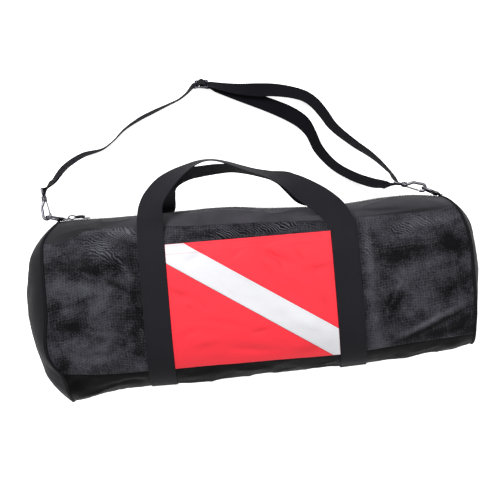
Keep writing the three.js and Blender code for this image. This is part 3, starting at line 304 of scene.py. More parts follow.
def section_at(x):
    share = share_of(x)
    zip_side = look_up(SECTIONS, 1, share) * HALF_DEPTH
    base = look_up(SECTIONS, 2, share) * HALF_DEPTH
    return {
        "middle": (zip_side - base) / 2,
        "half": (zip_side + base) / 2,
        "rise": look_up(SECTIONS, 3, share) * HEIGHT + FLOOR_SINK,
        "upper": look_up(SECTIONS, 4, share) * HALF_DEPTH,
        "lower": look_up(SECTIONS, 5, share) * HALF_DEPTH,
    }


def turn_at_y(section, y):
    share = (y - section["middle"]) / section["half"]
    return np.degrees(np.arcsin(signed_power(share, SQUARENESS / 2)))


def turn_at_z(section, z):
    return np.degrees(np.arccos(signed_power(2 * z / section["rise"] - 1, SQUARENESS / 2)))


def around(turn):
    """The same turn within half a turn either way."""
    return (turn + 540) % 360 - 180


def cos_sin(degrees):
    return math.cos(math.radians(degrees)), math.sin(math.radians(degrees))


def fold_depth(x, turn):
    share = share_of(x)
    depth = np.zeros(np.broadcast(x, turn).shape)
    for at, middle, along_size, across_size, skew, height in FOLDS:
        across = np.radians(around(turn - middle)) * HALF_DEPTH
        along = (share - at) * half_length(x)
        c, s = cos_sin(skew)
        u = (along * c + across * s) / (along_size * HEIGHT)
        v = (across * c - along * s) / (across_size * HEIGHT)
        depth += height * HEIGHT * np.exp(-2 * (u * u + v * v))
    return depth


def smooth_step(value, end):
    t = np.clip(value / end, 0, 1)
    return t * t * (3 - 2 * t)


def off_webbing(x):
    """How far a place along the bag is past the edge of the webbing on its side."""
    return np.abs(np.abs(x) - np.where(x < 0, WEB_LEFT, WEB_RIGHT)) - HALF_WEB


def floor_level(x):
    return WEB_LIFT * (1 - smooth_step(off_webbing(x), GROOVE_RAMP))


def settle(z, level):
    """Height once the cloth has sunk a little and lies flat on the level below it."""
    over = z - FLOOR_SINK - level
    soft = level + (over + FLOOR_BLEND) ** 2 / (4 * FLOOR_BLEND)
    return np.where(over <= -FLOOR_BLEND, level, np.where(over >= FLOOR_BLEND, over + level, soft))


def seam_pull(share, reach):
    """Share of its distance from the middle by which a place near an end is pulled in."""
    grip = np.maximum(np.abs(share) * 2 - 1, 0) ** 2
    return np.where(share < 0, look_up(SEAM_PULL, 1, reach), look_up(SEAM_PULL, 2, reach)) * grip


def skin(x, turn):
    """Point of the body's surface, with its folds, seams and flat underside."""
    x, turn = np.broadcast_arrays(np.asarray(x, float), around(np.asarray(turn, float)))
    section = section_at(x)
    s, c = np.sin(np.radians(turn)), np.cos(np.radians(turn))
    power = 2 / SQUARENESS
    out = fold_depth(x, turn)
    reach = signed_power(s, power)
    y = section["middle"] + section["half"] * reach + s * out
    z = section["rise"] / 2 * (1 + signed_power(c, power)) + c * out
    share = share_of(x)
    return np.stack([x * (1 - seam_pull(share, reach)), y, settle(z, floor_level(x))], -1)


def unit(a):
    a = np.asarray(a, float)
    return a / np.linalg.norm(a, axis=-1, keepdims=True)


def skin_normal(x, turn):
    along = skin(x + 1, turn) - skin(x - 1, turn)
    across = skin(x, turn + 1) - skin(x, turn - 1)
    return -unit(np.cross(across, along))


def girth_line(name, x):
    """Turn of a named line round the girth, in degrees from the top."""
    section = section_at(x)
    if name.startswith("zip"):
        edge = TAPE_WIDTH / 2 if name == "zipFront" else -TAPE_WIDTH / 2
        turn = turn_at_z(section, ZIP_RISE * section["rise"] + edge)
        return turn if name == "zipFront" else turn - 360
    if name == "flagTop":
        return turn_at_y(section, FLAG_TOP)
    seam = turn_at_y(section, section["upper" if name.startswith("upper") else "lower"])
    return -180 - seam if name.endswith("Back") else seam


def noise(x, y, seed):
    """Smooth noise from -1 to 1 on a seeded lattice of unit cells."""
    size = 64
    lattice = np.random.default_rng(seed).uniform(-1, 1, (size, size))
    i, j = np.floor(x).astype(int), np.floor(y).astype(int)
    u, v = x - i, y - j
    u, v = u * u * (3 - 2 * u), v * v * (3 - 2 * v)
    a, b = lattice[i % size, j % size], lattice[(i + 1) % size, j % size]
    c, d = lattice[i % size, (j + 1) % size], lattice[(i + 1) % size, (j + 1) % size]
    return (a * (1 - u) + b * u) * (1 - v) + (c * (1 - u) + d * u) * v


def blobs(rows, x, y):
    total = np.zeros(np.shape(x))
    for at_x, at_y, along, across, skew, value in rows:
        c, s = cos_sin(skew)
        u = ((x - at_x) * c + (y - at_y) * s) / along
        v = ((y - at_y) * c - (x - at_x) * s) / across
        total += value * np.exp(-1.6 * (u * u + v * v))
    return total


# Meshes


def make_piece(name, points, faces, material, slot=None, node=None, uv=None, body="bag", tones=(),
               smooth=True):
    """Mesh object of points in mm that rides on a body and may stand for a node of the frame."""
    mesh = bpy.data.meshes.new(name)
    mesh.from_pydata([tuple(p) for p in np.asarray(points) * MM], [], faces)
    mesh.update()
    if smooth:
        mesh.shade_smooth()
    if uv is not None:
        layer = mesh.uv_layers.new(name="cloth")
        order = np.zeros(len(mesh.loops), dtype=np.int32)
        mesh.loops.foreach_get("vertex_index", order)
        layer.data.foreach_set("uv", (np.asarray(uv)[order] * 0.01).astype(np.float32).ravel())
    for key in tones:
        attribute = mesh.attributes.new(key, "FLOAT", "POINT")
        attribute.data.foreach_set("value", np.asarray(tones[key], np.float32))
    mesh.materials.append(material)
    piece = bpy.data.objects.new(name, mesh)
    bpy.context.collection.objects.link(piece)
    if body:
        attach(piece, body)
    if node:
        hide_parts(node)
    return piece


def grid_faces(rows, columns, start=0, closed=False, turned=False):
    faces = []
    for r in range(rows - 1):
        for c in range(columns if closed else columns - 1):
            a, b = start + r * columns + c, start + r * columns + (c + 1) % columns
            face = (a, b, b + columns, a + columns)
            faces.append(face[::-1] if turned else face)
    return faces


def sheet(outer, inner):
    """Closed sheet between two grids of the same size."""
    rows, columns = outer.shape[:2]
    count = rows * columns
    points = np.concatenate([outer.reshape(-1, 3), inner.reshape(-1, 3)])
    faces = grid_faces(rows, columns) + grid_faces(rows, columns, count, turned=True)
    rim = [c for c in range(columns)] + [r * columns + columns - 1 for r in range(1, rows)]
    rim += [(rows - 1) * columns + c for c in range(columns - 2, -1, -1)]
    rim += [r * columns for r in range(rows - 2, 0, -1)]
    for a, b in zip(rim, rim[1:] + rim[:1]):
        faces.append((b, a, a + count, b + count))
    return points, faces


def lengths(points, axis):
    steps = np.linalg.norm(np.diff(points, axis=axis), axis=-1)
    zero = np.zeros_like(np.take(steps, [0], axis=axis))
    return np.concatenate([zero, np.cumsum(steps, axis=axis)], axis=axis)


def panel_grid(x, start, end, count):
    t = np.linspace(0, 1, count)[:, None]
    turn = girth_line(start, x)[None] * (1 - t) + girth_line(end, x)[None] * t
    return np.broadcast_to(x, turn.shape), turn


def run_along(points):
    """Length along a path up to each of its points."""
    return np.concatenate([[0], np.cumsum(np.linalg.norm(np.diff(points, axis=0), axis=1))])


def pick(at, run, rows):
    """Rows between the stations of a path, at given lengths."""
    return np.stack([np.interp(at, run, rows[:, k]) for k in range(rows.shape[1])], -1)


def doubled(uv):
    return np.concatenate([uv, uv])


def ripples(along, across, seed):
    """Waves, creases and small unevenness of loose cloth, about 1 up and down."""
    waves = noise(along / 46 + 7, across / 30 + 3, seed) * 0.6
    creases = (1 - np.abs(noise(along / 62, across / 40 + along / 160, seed + 1))) ** 3 - 0.4
    small = noise(along / 19 + 9, across / 15 + 4, seed + 2) * 0.25
    return waves + creases + small


def held_by_flag(height, along, y, t):
    """Height of the mesh, lowered where the pocket lies on it."""
    under = np.clip((FLAG_TOP - 2 - y) / 5, 0, 1) * np.clip((HOLD - np.abs(along + 1.5)) / 6, 0, 1)
    seams = np.clip(t * 30, 0, 1) * np.clip((1 - t) * 20, 0, 1)
    return height * (1 - under) - UNDER_FLAG * under * seams


def cloth_panel(node, start, end, count, wall, material, slot, ripple, seed, light_and_shade_rows=()):
    """Body panel between two girth lines, with fine ripples that fade out at its seams."""
    on_front = start == "upperFront"
    x = np.linspace(-LEFT_LENGTH + SEAM_GAP / 2, RIGHT_LENGTH - SEAM_GAP / 2, PANEL_COLUMNS)
    grid_x, turn = panel_grid(x, start, end, count)
    base, normal = skin(grid_x, turn), skin_normal(grid_x, turn)
    along, across = base[..., 0], lengths(base, 0)
    t = np.linspace(0, 1, count)[:, None]
    edge = np.clip(np.minimum(t, 1 - t) * 8, 0, 1) * np.clip((1 - np.abs(share_of(x))) * 14, 0, 1)
    clear = np.clip(off_webbing(x) / 20, 0, 1)
    calm = np.where((np.abs(x) < WEB_RIGHT) & on_front, 0.4, 1)
    off_floor = np.clip(base[..., 2] / 12, 0, 1)
    height = ripples(along, across, seed) * ripple * edge * clear * calm * off_floor
    if on_front:
        height = held_by_flag(height, along, base[..., 1], t)
    outer = base + normal * (height - 0.05)[..., None]
    points, faces = sheet(outer, outer - normal * wall)
    uv = np.stack([along, across], -1).reshape(-1, 2)
    # Painted light and shade as a point attribute from the given table; on the front, the mesh's strand
    # patches too.
    tones = {"tone": blobs(light_and_shade_rows, along, base[..., 1])}
    if on_front:
        tones["strands"] = blobs(STRANDS, along, base[..., 1])
    tones = {key: np.tile(value.ravel(), 2) for key, value in tones.items()}
    make_piece(f"{node}_cloth", points, faces, material, slot, node, doubled(uv), tones=tones)


def end_disc(node, end, material):
    """Bulging end from the end seam to its middle."""
    rings, columns = END_RINGS, END_COLUMNS
    x = end["side"] * end["length"]
    turns = np.linspace(0, 360, columns, endpoint=False)
    rim = skin(np.full(columns, float(x)), turns)
    spread = 1 - np.linspace(0, 1, rings)[:, None] ** 1.2
    spread[-1] = 0.02
    middle = rim.mean(0)
    low = np.maximum((middle[1] - rim[:, 1]) / HALF_DEPTH, 0) * spread
    peak = end["side"] * (end["length"] + end["bulge"] - end["drop"] * low)
    fall = spread ** 4
    grid = np.zeros((rings, columns, 3))
    grid[..., 0] = rim[:, 0] * fall + peak * (1 - fall) + end["side"] * SEAM_GAP
    grid[..., 1:] = middle[1:] + (rim[:, 1:] - middle[1:]) * spread[..., None]
    crumple = noise(grid[..., 1] / 34 + 5, grid[..., 2] / 40 + 2, 30) * 2.2
    crumple += (1 - np.abs(noise(grid[..., 1] / 70, grid[..., 2] / 55, 31))) ** 3 * 2
    grid[..., 0] += end["side"] * (crumple - 2.5) * np.clip((1 - spread) * 3, 0, 1)
    points = np.concatenate([grid.reshape(-1, 3), grid[-1].mean(0, keepdims=True)])
    turned = end["side"] < 0
    faces = grid_faces(rings, columns, closed=True, turned=turned)
    last = (rings - 1) * columns
    for c in range(columns):
        face = (last + c, last + (c + 1) % columns, len(points) - 1)
        faces.append(face[::-1] if turned else face)
    piece = make_piece(f"{node}_cloth", points, faces, material, "base_cloth", node, points[:, [1, 2]])
    wall = piece.modifiers.new("wall", "SOLIDIFY")
    wall.thickness = END_WALL * MM
    wall.offset = -1


def tube(points, radius, sides=12, closed=False, flatten=1.0, wide=None):
    """Round bar along a path, as points and faces."""
    points = np.asarray(points, float)
    if closed:
        way = unit(np.roll(points, -1, 0) - np.roll(points, 1, 0))
    else:
        way = unit(np.gradient(points, axis=0))
    side = np.zeros_like(points)
    reference = np.array([0.3, 0.5, 0.8]) if wide is None else np.asarray(wide, float)
    for i, w in enumerate(way):
        reference = reference - w * (reference @ w)
        reference = reference / np.linalg.norm(reference)
        side[i] = reference
    up = np.cross(way, side)
    turn = np.linspace(0, 2 * math.pi, sides, endpoint=False)[None, :, None]
    rings = points[:, None] + radius * (np.cos(turn) * side[:, None] + flatten * np.sin(turn) * up[:, None])
    count = len(points)
    cloud = rings.reshape(-1, 3)
    faces = grid_faces(count, sides, closed=True, turned=True)
    if closed:
        last = (count - 1) * sides
        faces += [(last + (k + 1) % sides, last + k, k, (k + 1) % sides) for k in range(sides)]
    else:
        faces += [tuple(range(sides)), tuple(range((count - 1) * sides, count * sides))[::-1]]
    return cloud, faces


def merge(parts):
    points, faces, start = [], [], 0
    for cloud, group in parts:
        points.append(cloud)
        faces += [tuple(i + start for i in face) for face in group]
        start += len(cloud)
    return np.concatenate(points), faces


def between(a, b, t, low, high):
    """Value at t on the line from a at low to b at high."""
    return (a * (high - t) + b * (t - low)) / (high - low)


def spline(points, count, closed=False):
    """Points along a centripetal curve through given points, evenly spaced."""
    points = np.asarray(points, float)
    if closed:
        ring = np.concatenate([points[-1:], points, points[:2]])
    else:
        ring = np.concatenate([2 * points[:1] - points[1:2], points, 2 * points[-1:] - points[-2:-1]])
    fine = []
    for p0, p1, p2, p3 in zip(ring, ring[1:], ring[2:], ring[3:]):
        knots = [0.0]
        for a, b in ((p0, p1), (p1, p2), (p2, p3)):
            knots.append(knots[-1] + max(np.linalg.norm(b - a) ** 0.5, 1e-6))
        k0, k1, k2, k3 = knots
        t = np.linspace(k1, k2, 12, endpoint=False)[:, None]
        a1, a2, a3 = between(p0, p1, t, k0, k1), between(p1, p2, t, k1, k2), between(p2, p3, t, k2, k3)
        fine.append(between(between(a1, a2, t, k0, k2), between(a2, a3, t, k1, k3), t, k1, k2))
    fine = np.concatenate(fine + ([fine[0][:1]] if closed else [points[-1:]]))
    return resample(fine, count, closed)


def resample(points, count, closed=False):
    run = run_along(points)
    return pick(np.linspace(0, run[-1], count, endpoint=not closed), run, points)


def rotate(points, frame_matrix):
    matrix = np.array(frame_matrix)
    return np.asarray(points) @ matrix[:3, :3].T + matrix[:3, 3]


def frame_of(origin, way, axis):
    """Matrix with its first axis along the way and its third near the axis."""
    first = unit(way)
    third = unit(np.asarray(axis, float) - first * (np.asarray(axis, float) @ first))
    matrix = np.eye(4)
    matrix[:3, 0], matrix[:3, 1], matrix[:3, 2] = first, np.cross(third, first), third
    matrix[:3, 3] = origin
    return matrix


# Webbing and straps


def webbing_profile(width, wall):
    """Cross-section of a woven strap: corners rounded, faces with shallow edge cords."""
    half, thick, cord = width / 2, wall / 2, wall * 0.55
    edge = [
        (-half, 0), (-half + 0.35, thick * 0.85), (-half + 1.2, thick), (-half + cord + 1.4, thick * 0.86),
    ]
    upper = edge + [(0, thick * 0.9)] + [(-x, y) for x, y in edge[::-1]]
    return upper + [(x, -y) for x, y in upper[-2:0:-1]]


def ribbon(middles, wides, faces_out, width, wall):
    """Strap through stations, as points, faces and a UV in mm: along, across."""
    profile = np.array(webbing_profile(width, wall))
    grid = middles[:, None] + wides[:, None] * profile[None, :, :1]
    grid = grid + faces_out[:, None] * profile[None, :, 1:]
    rows, columns = grid.shape[:2]
    points = grid.reshape(-1, 3)
    faces = grid_faces(rows, columns, closed=True, turned=True)
    last = (rows - 1) * columns
    faces += [tuple(range(columns)), tuple(range(last, last + columns))[::-1]]
    uv = np.stack([np.repeat(run_along(middles), columns), np.tile(profile[:, 0], rows)], -1)
    return points, faces, uv


def smooth_stations(middles, wides, spacing, soften=2):
    """Evenly spaced stations on a smooth curve, with widths turned along with it."""
    count = int(run_along(middles)[-1] / spacing)
    both = spline(np.concatenate([middles, wides * 12], axis=1), count)
    middle, wide = both[:, :3], both[:, 3:]
    for _ in range(soften):
        wide[1:-1] = (wide[:-2] + wide[1:-1] * 2 + wide[2:]) / 4
    way = unit(np.gradient(middle, axis=0))
    wide = unit(wide - way * np.sum(wide * way, axis=1, keepdims=True))
    return middle, wide, np.cross(wide, way)


def handle_stations(rows, front):
    table = np.array(rows, float)
    middles = table[:, :3] * [1, HALF_DEPTH, HEIGHT]
    middles[:, 0] *= np.where(table[:, 0] < 0, WEB_LEFT, WEB_RIGHT)
    wides = []
    for i, lean in enumerate(np.radians(table[:, 3])):
        way = unit(middles[min(i + 1, len(rows) - 1)] - middles[max(i - 1, 0)])
        if front:
            level = unit([way[1], -way[0], 0])
            wides.append(level * math.cos(lean) + np.cross(level, way) * math.sin(lean))
        else:
            wides.append(unit(np.cross(way, [0, math.cos(lean), -math.sin(lean)])))
    return middles, np.array(wides)


def sewn_leg(middle_x, end_line, end_share, front):
    """Stations of webbing that lies on the body from the bottom's middle line up a face."""
    x = np.array([middle_x - HALF_WEB, middle_x, middle_x + HALF_WEB], float)
    top = girth_line(end_line[0], x) * (1 - end_share) + girth_line(end_line[1], x) * end_share
    t = np.linspace(0, 1, 90)[:, None]
    turn = -90 * (1 - t) + top[None] * t
    grid_x = np.broadcast_to(x, turn.shape)
    points = skin(grid_x, turn)
    normal = unit(skin_normal(grid_x, turn).sum(1))
    middle = points[:, 1] + normal * (SEAM_GAP + WEB_WALL / 2)
    wide = unit(points[:, 2] - points[:, 0])
    return middle, wide * (1 if front else -1)


def webbing_piece(node, rows, line, share, front, material):
    """Webbing up both legs, with its handle between them."""
    left = sewn_leg(-WEB_LEFT, line, share, front)
    right = sewn_leg(WEB_RIGHT, line, share, front)
    handle = handle_stations(rows, front)
    middles = np.concatenate([left[0][::6], handle[0], right[0][::6][::-1]])
    wides = np.concatenate([left[1][::6], handle[1], -right[1][::6][::-1]])
    middle, wide, out = smooth_stations(middles, wides, 4.0)
    points, faces, uv = ribbon(middle, wide, out, WEB_WIDTH, WEB_WALL)
    make_piece(f"{node}_strap", points, faces, material, "webbing", node, uv)


def floor_stations(rows):
    """Strap along the floor: x, y, lean in degrees and height over the floor."""
    plan = np.array([(x, y, 0.0) for x, y, _, _ in rows])
    middles, wides = [], []
    for i, (x, y, lean, lift) in enumerate(rows):
        way = unit(plan[min(i + 1, len(rows) - 1)] - plan[max(i - 1, 0)])
        c, s = cos_sin(lean)
        wide = np.array([-way[1] * c, way[0] * c, s])
        middles.append((x, y, (abs(s) * STRAP_WIDTH + c * STRAP_WALL) / 2 + lift))
        wides.append(wide)
    return middles, wides


def turn_round(matrix, bar_x, bar_wire, start, end=270, steps=5):
    """Strap round a bar."""
    radius = bar_wire / 2 + FIT + STRAP_WALL / 2 + TURN_ROOM
    turn = np.radians(np.linspace(start, end, steps + 1))
    local = np.stack([bar_x + radius * np.cos(turn), radius * np.sin(turn), np.zeros_like(turn)], -1)
    return list(rotate(local, matrix)), [matrix[:3, 2]] * (steps + 1)


def through(matrix, points):
    local = np.array([(x, y, 0.0) for x, y in points])
    return list(rotate(local, matrix)), [matrix[:3, 2]] * len(points)


# Zipper and hardware places


def zip_place(x):
    """Point on the zipper's middle line, with the ways along, across and out."""
    section = section_at(np.array(float(x)))
    turn = turn_at_z(section, ZIP_RISE * section["rise"])
    point = skin(x, turn)
    along = unit(skin(x + 1, turn) - skin(x - 1, turn))
    across = unit(skin(x, turn - 1) - skin(x, turn + 1))
    out = -unit(np.cross(along, across))
    return point, along, -np.cross(out, along), out


def ring_seat(x):
    point, along, across, out = zip_place(x)
    return point + out * (COIL_RISE + FIT + TAB_WALL + FIT + RING_WIRE / 2), along, across, out


def ring_frame(x):
    bar, along, across, out = ring_seat(x)
    swing = math.radians(RING_SWING)
    return frame_of(bar, -along * math.cos(swing) + out * math.sin(swing), across)


def tab_frame(x):
    bar, along, across, _ = ring_seat(x)
    return frame_of(bar, along, across)


def hook_frame(hook, ring_x):
    """Place of a hook that hangs in the bow of its ring."""
    way, side = unit(hook["way"]), unit(hook["across"])
    seat = HOOK_RADIUS - HOOK_SEAT / 2 - RING_WIRE / 2 - LINK_ROOM
    bow = rotate([[RING_DEPTH, 0, 0]], ring_frame(ring_x))[0]
    return frame_of(bow + way * seat, way, unit(np.cross(way, side)))


LEFT_RING_X = -LEFT_LENGTH + 6
RIGHT_RING_X = RIGHT_LENGTH - 18
BARREL_START = HOOK_SPINE + 8
EYE_START = BARREL_START + BARREL_LENGTH + EYE_WIRE * 0.2
EYE_END = EYE_START + EYE_OPENING + EYE_WIRE
EYE_HALF = STRAP_WIDTH / 2 + FIT + 1 + EYE_WIRE / 2
GATE_PIVOT = np.array([BARREL_START - GATE_ROOM, BARREL_WIDTH / 2 - 1.1, 0])


def ring_parts():
    half = RING_WIDTH / 2
    bow = [
        (0, 0, -half * 0.74), (0, 0, half * 0.74), (2, 0, half * 0.9), (6, 0, half * 0.96),
        (RING_DEPTH * 0.5, 0, half * 0.86), (RING_DEPTH * 0.82, 0, half * 0.55), (RING_DEPTH, 0, 0),
    ]
    back = [(x, y, -z) for x, y, z in bow[2:6][::-1]]
    return tube(spline(bow + back, 96, closed=True), RING_WIRE / 2 + RING_SWELL, 16, closed=True)


def hook_parts():
    r = HOOK_RADIUS
    turns = np.radians(np.arange(90, 271, 30))
    bend = [(r * math.cos(t), -r * math.sin(t), 0) for t in turns]
    spine = [
        (BARREL_START + 2, 0, 0), (HOOK_SPINE + 3, -r * 0.55, 0), (HOOK_SPINE - 3, -r, 0), (8, -r, 0),
    ]
    body = tube(spline(spine + bend + [(4, r, 0)], 90), HOOK_WIRE / 2 + HOOK_SWELL, 14)
    eye = [
        (EYE_START, 0, -EYE_HALF * 0.8), (EYE_START, 0, EYE_HALF * 0.8), (EYE_START + 1, 0, EYE_HALF),
        (EYE_END - 1, 0, EYE_HALF), (EYE_END, 0, EYE_HALF * 0.8), (EYE_END, 0, -EYE_HALF * 0.8),
        (EYE_END - 1, 0, -EYE_HALF), (EYE_START + 1, 0, -EYE_HALF),
    ]
    loop = tube(spline(eye, 110, closed=True), EYE_WIRE / 2 + EYE_SWELL, 14, closed=True)
    return merge([body, loop, barrel_parts()])


def barrel_parts():
    """Turned swivel barrel with two grooves."""
    profile = [(0, 0.1), (0, 0.8), (0.06, 1), (0.24, 1), (0.28, 0.84), (0.34, 0.84), (0.38, 1),
               (0.66, 1), (0.7, 0.84), (0.76, 0.84), (0.8, 1), (0.95, 1), (1, 0.86), (1, 0.1)]
    turn = np.linspace(0, 2 * math.pi, 24, endpoint=False)
    rows = [np.stack([np.full(24, BARREL_START + at * BARREL_LENGTH), np.cos(turn) * share * BARREL_RADIUS,
                      np.sin(turn) * share * BARREL_RADIUS], -1) for at, share in profile]
    faces = grid_faces(len(rows), 24, closed=True, turned=True)
    last = (len(rows) - 1) * 24
    faces += [tuple(range(24)), tuple(range(last, last + 24))[::-1]]
    return np.concatenate(rows), faces


def gate_parts():
    reach = np.array([4 + FIT, HOOK_RADIUS, 0]) - GATE_PIVOT
    end = reach * (1 - 1.2 / np.linalg.norm(reach))
    line = np.linspace(GATE_PIVOT, GATE_PIVOT + end, 16)
    return tube(line, GATE_WIRE / 2, 12)


def glide_parts():
    half = STRAP_WIDTH / 2 + FIT + 1 + GLIDE_WIRE / 2
    reach = GLIDE_LENGTH / 2 - GLIDE_WIRE / 2
    frame_line = []
    corners = ((reach, half, 0), (-reach, half, 90), (-reach, -half, 180), (reach, -half, 270))
    for x, z, start in corners:
        for turn in np.radians(np.linspace(start, start + 90, 7)):
            frame_line.append((x + (math.cos(turn) - np.sign(x)) * GLIDE_CORNER, 0,
                               z + (math.sin(turn) - np.sign(z)) * GLIDE_CORNER))
    frame_line = resample(np.array(frame_line + frame_line[:1]), 150, closed=True)
    loop = tube(frame_line, GLIDE_WIRE / 2, 14, closed=True)
    bar = tube(np.linspace((0, 0, -half), (0, 0, half), 12), GLIDE_WIRE / 2, 14)
    return merge([loop, bar])


BOX_CORNERS = [
    (-1, -1, -1), (1, -1, -1), (1, 1, -1), (-1, 1, -1), (-0.6, -0.6, 1), (0.6, -0.6, 1), (0.6, 0.6, 1),
    (-0.6, 0.6, 1),
]
BOX_FACES = [(0, 3, 2, 1), (4, 5, 6, 7), (0, 1, 5, 4), (1, 2, 6, 5), (2, 3, 7, 6), (3, 0, 4, 7)]


def boxes(middles, ways, outs, length, width, height):
    """Small raised pads, such as stitches or teeth: one joined mesh."""
    points, faces = [], []
    for middle, way, out in zip(middles, ways, outs):
        side = np.cross(out, way)
        start = len(points)
        for a, b, c in BOX_CORNERS:
            rise = -STITCH_SINK if c < 0 else height
            points.append(middle + way * a * length / 2 + side * b * width / 2 + out * rise)
        faces += [tuple(start + i for i in face) for face in BOX_FACES]
    return np.array(points), faces


# Materials


class Graph:
    """Short ways to add nodes to a material."""

    def __init__(self, name):
        self.material = bpy.data.materials.new(name)
        self.material.use_nodes = True
        self.nodes, self.links = self.material.node_tree.nodes, self.material.node_tree.links
        self.shader = self.nodes["Principled BSDF"]

    def node(self, kind, **values):
        node = self.nodes.new(kind)
        for key, value in values.items():
            setattr(node, key, value)
        return node

    def put(self, value, socket):
        if isinstance(value, bpy.types.NodeSocket):
            self.links.new(value, socket)
        else:
            socket.default_value = value

    def math(self, operation, a, b=0.0, c=None):
        node = self.node("ShaderNodeMath", operation=operation)
        self.put(a, node.inputs[0])
        self.put(b, node.inputs[1])
        if c is not None:
            self.put(c, node.inputs[2])
        return node.outputs[0]

    def cloth(self):
        """UV of the piece in mm, as two sockets."""
        uv = self.node("ShaderNodeUVMap", uv_map="cloth")
        split = self.node("ShaderNodeSeparateXYZ")
        self.links.new(uv.outputs[0], split.inputs[0])
        return self.math("MULTIPLY", split.outputs[0], 100.0), self.math("MULTIPLY", split.outputs[1], 100.0)

    def tone(self, name):
        """Value that the mesh carries at each point."""
        return self.node("ShaderNodeAttribute", attribute_name=name).outputs["Fac"]

    def place(self):
        return self.node("ShaderNodeTexCoord").outputs["Object"]

    def noise(self, vector, scale, detail=3.0, rough=0.55):
        node = self.node("ShaderNodeTexNoise")
        self.links.new(vector, node.inputs["Vector"])
        node.inputs["Scale"].default_value = scale
        node.inputs["Detail"].default_value = detail
        node.inputs["Roughness"].default_value = rough
        return node.outputs["Fac"]

    def wave(self, value, period):
        """Sine of a length in mm, from 0 to 1."""
        turned = self.math("MULTIPLY", value, 2 * math.pi / period)
        return self.math("MULTIPLY_ADD", self.math("SINE", turned), 0.5, 0.5)

    def mix(self, factor, a, b):
        node = self.node("ShaderNodeMix", data_type="RGBA")
        self.put(factor, node.inputs["Factor"])
        self.put(a if isinstance(a, bpy.types.NodeSocket) else (*a, 1), node.inputs["A"])
        self.put(b if isinstance(b, bpy.types.NodeSocket) else (*b, 1), node.inputs["B"])
        return node.outputs["Result"]

    def spread(self, value, low, high, out_low=0.0, out_high=1.0):
        node = self.node("ShaderNodeMapRange")
        self.put(value, node.inputs["Value"])
        ends = {"From Min": low, "From Max": high, "To Min": out_low, "To Max": out_high}
        for key, number in ends.items():
            node.inputs[key].default_value = number
        return node.outputs[0]

    def bump(self, height, strength, distance):
        node = self.node("ShaderNodeBump")
        node.inputs["Strength"].default_value = strength
        node.inputs["Distance"].default_value = distance * MM
        self.put(height, node.inputs["Height"])
        self.links.new(node.outputs[0], self.shader.inputs["Normal"])

    def finish(self, color, rough, metallic=0.0, sheen=0.0, specular=0.5):
        self.links.new(color, self.shader.inputs["Base Color"])
        self.put(rough, self.shader.inputs["Roughness"])
        self.shader.inputs["Metallic"].default_value = metallic
        self.shader.inputs["Sheen Weight"].default_value = sheen
        self.shader.inputs["Specular IOR Level"].default_value = specular
        return self.material


def shades(color, low, high):
    return tuple(c * low for c in color), tuple(c * high for c in color)


def weave(name, color, pitch, rough, gloss, bump=0.4, vary=0.12):
    """Plain woven cloth: over-and-under threads, soft uneven tone, fine creases, and painted shade from the
    piece's tone attribute.
    """
    g = Graph(name)
    along, across = g.cloth()
    warp, weft = g.wave(along, pitch), g.wave(across, pitch)
    check = g.math("ABSOLUTE", g.math("SUBTRACT", warp, weft))
    cloud = g.noise(g.place(), 26.0, 4.0)
    dark, light = shades(color, 1 - vary * 2.2, 1 + vary)
    shade_patch = g.tone("tone")
    tone = g.math("MULTIPLY_ADD", check, 0.3, g.math("MULTIPLY", cloud, 0.7))
    crease = g.noise(g.place(), 120.0, 5.0)
    g.bump(g.math("MULTIPLY_ADD", crease, 2.2, g.math("MULTIPLY", check, 0.5)), bump, 0.35)
    # Painted shade: darker, down to a quarter of the colour, where the tone attribute falls below zero.
    color = g.mix(g.spread(shade_patch, 0.0, -1.0), g.mix(tone, dark, light), shades(color, 0.25, 1)[0])
    rough = g.spread(cloud, 0.3, 0.7, rough - 0.08, rough + 0.08)
    return g.finish(color, rough, sheen=0.004, specular=gloss)


HOLE_PITCH = 2.6


def netting(name, dark, light):
    """Knitted mesh: rows of small holes with painted shade in them, between threads of uneven tone with
    painted light and shade.
    """
    g = Graph(name)
    along, across = g.cloth()
    turns = 2 * math.pi / HOLE_PITCH
    row, column = g.math("MULTIPLY", along, turns), g.math("MULTIPLY", across, turns)
    holes = g.math("MULTIPLY", g.math("SINE", row), g.math("SINE", column))
    hole = g.spread(g.math("ABSOLUTE", holes), 0.2, 0.55)
    tone = g.tone("tone")
    cloud = g.noise(g.place(), 30.0, 6.0, 0.68)
    fine = g.noise(g.place(), 230.0, 4.0, 0.8)
    drift = g.math("MULTIPLY", g.noise(g.place(), 24.0, 2.0), 16.0)
    lengthwise = g.wave(g.math("ADD", along, drift), 5.2)
    grid = g.math("MAXIMUM", lengthwise, g.wave(g.math("SUBTRACT", across, drift), 5.0))
    slanted = g.math("MULTIPLY_ADD", across, -1.3, g.math("MULTIPLY_ADD", drift, 3.5, along))
    strands = g.wave(slanted, 8.0)
    # Painted light and shade from the tone attribute, with uneven tone from noise, the knit's grid and the
    # wavy strands.
    lit = g.math("MULTIPLY_ADD", tone, 0.5, g.math("MULTIPLY_ADD", cloud, 1.5, -0.42))
    lit = g.math("ADD", lit, g.math("MULTIPLY_ADD", fine, 1.35, -0.66))
    lit = g.math("ADD", lit, g.math("MULTIPLY_ADD", g.math("POWER", grid, 3.0), 0.26, -0.12))
    shown = g.tone("strands")
    strands = g.math("MULTIPLY_ADD", g.math("POWER", strands, 2.0), 1.3, -0.4)
    lit = g.math("ADD", lit, g.math("MULTIPLY", strands, shown))
    thread = g.mix(g.spread(lit, 0.02, 1.22), dark, light)
    # Painted shade of the bag's dark inside, seen through the holes.
    hole_shade = tuple(c * 0.3 for c in dark)
    color = g.mix(g.math("MULTIPLY", hole, 0.42), thread, hole_shade)
    g.bump(g.math("MULTIPLY_ADD", fine, 0.8, g.math("MULTIPLY", hole, -1.0)), 0.6, 0.5)
    return g.finish(color, 0.62, specular=0.06)


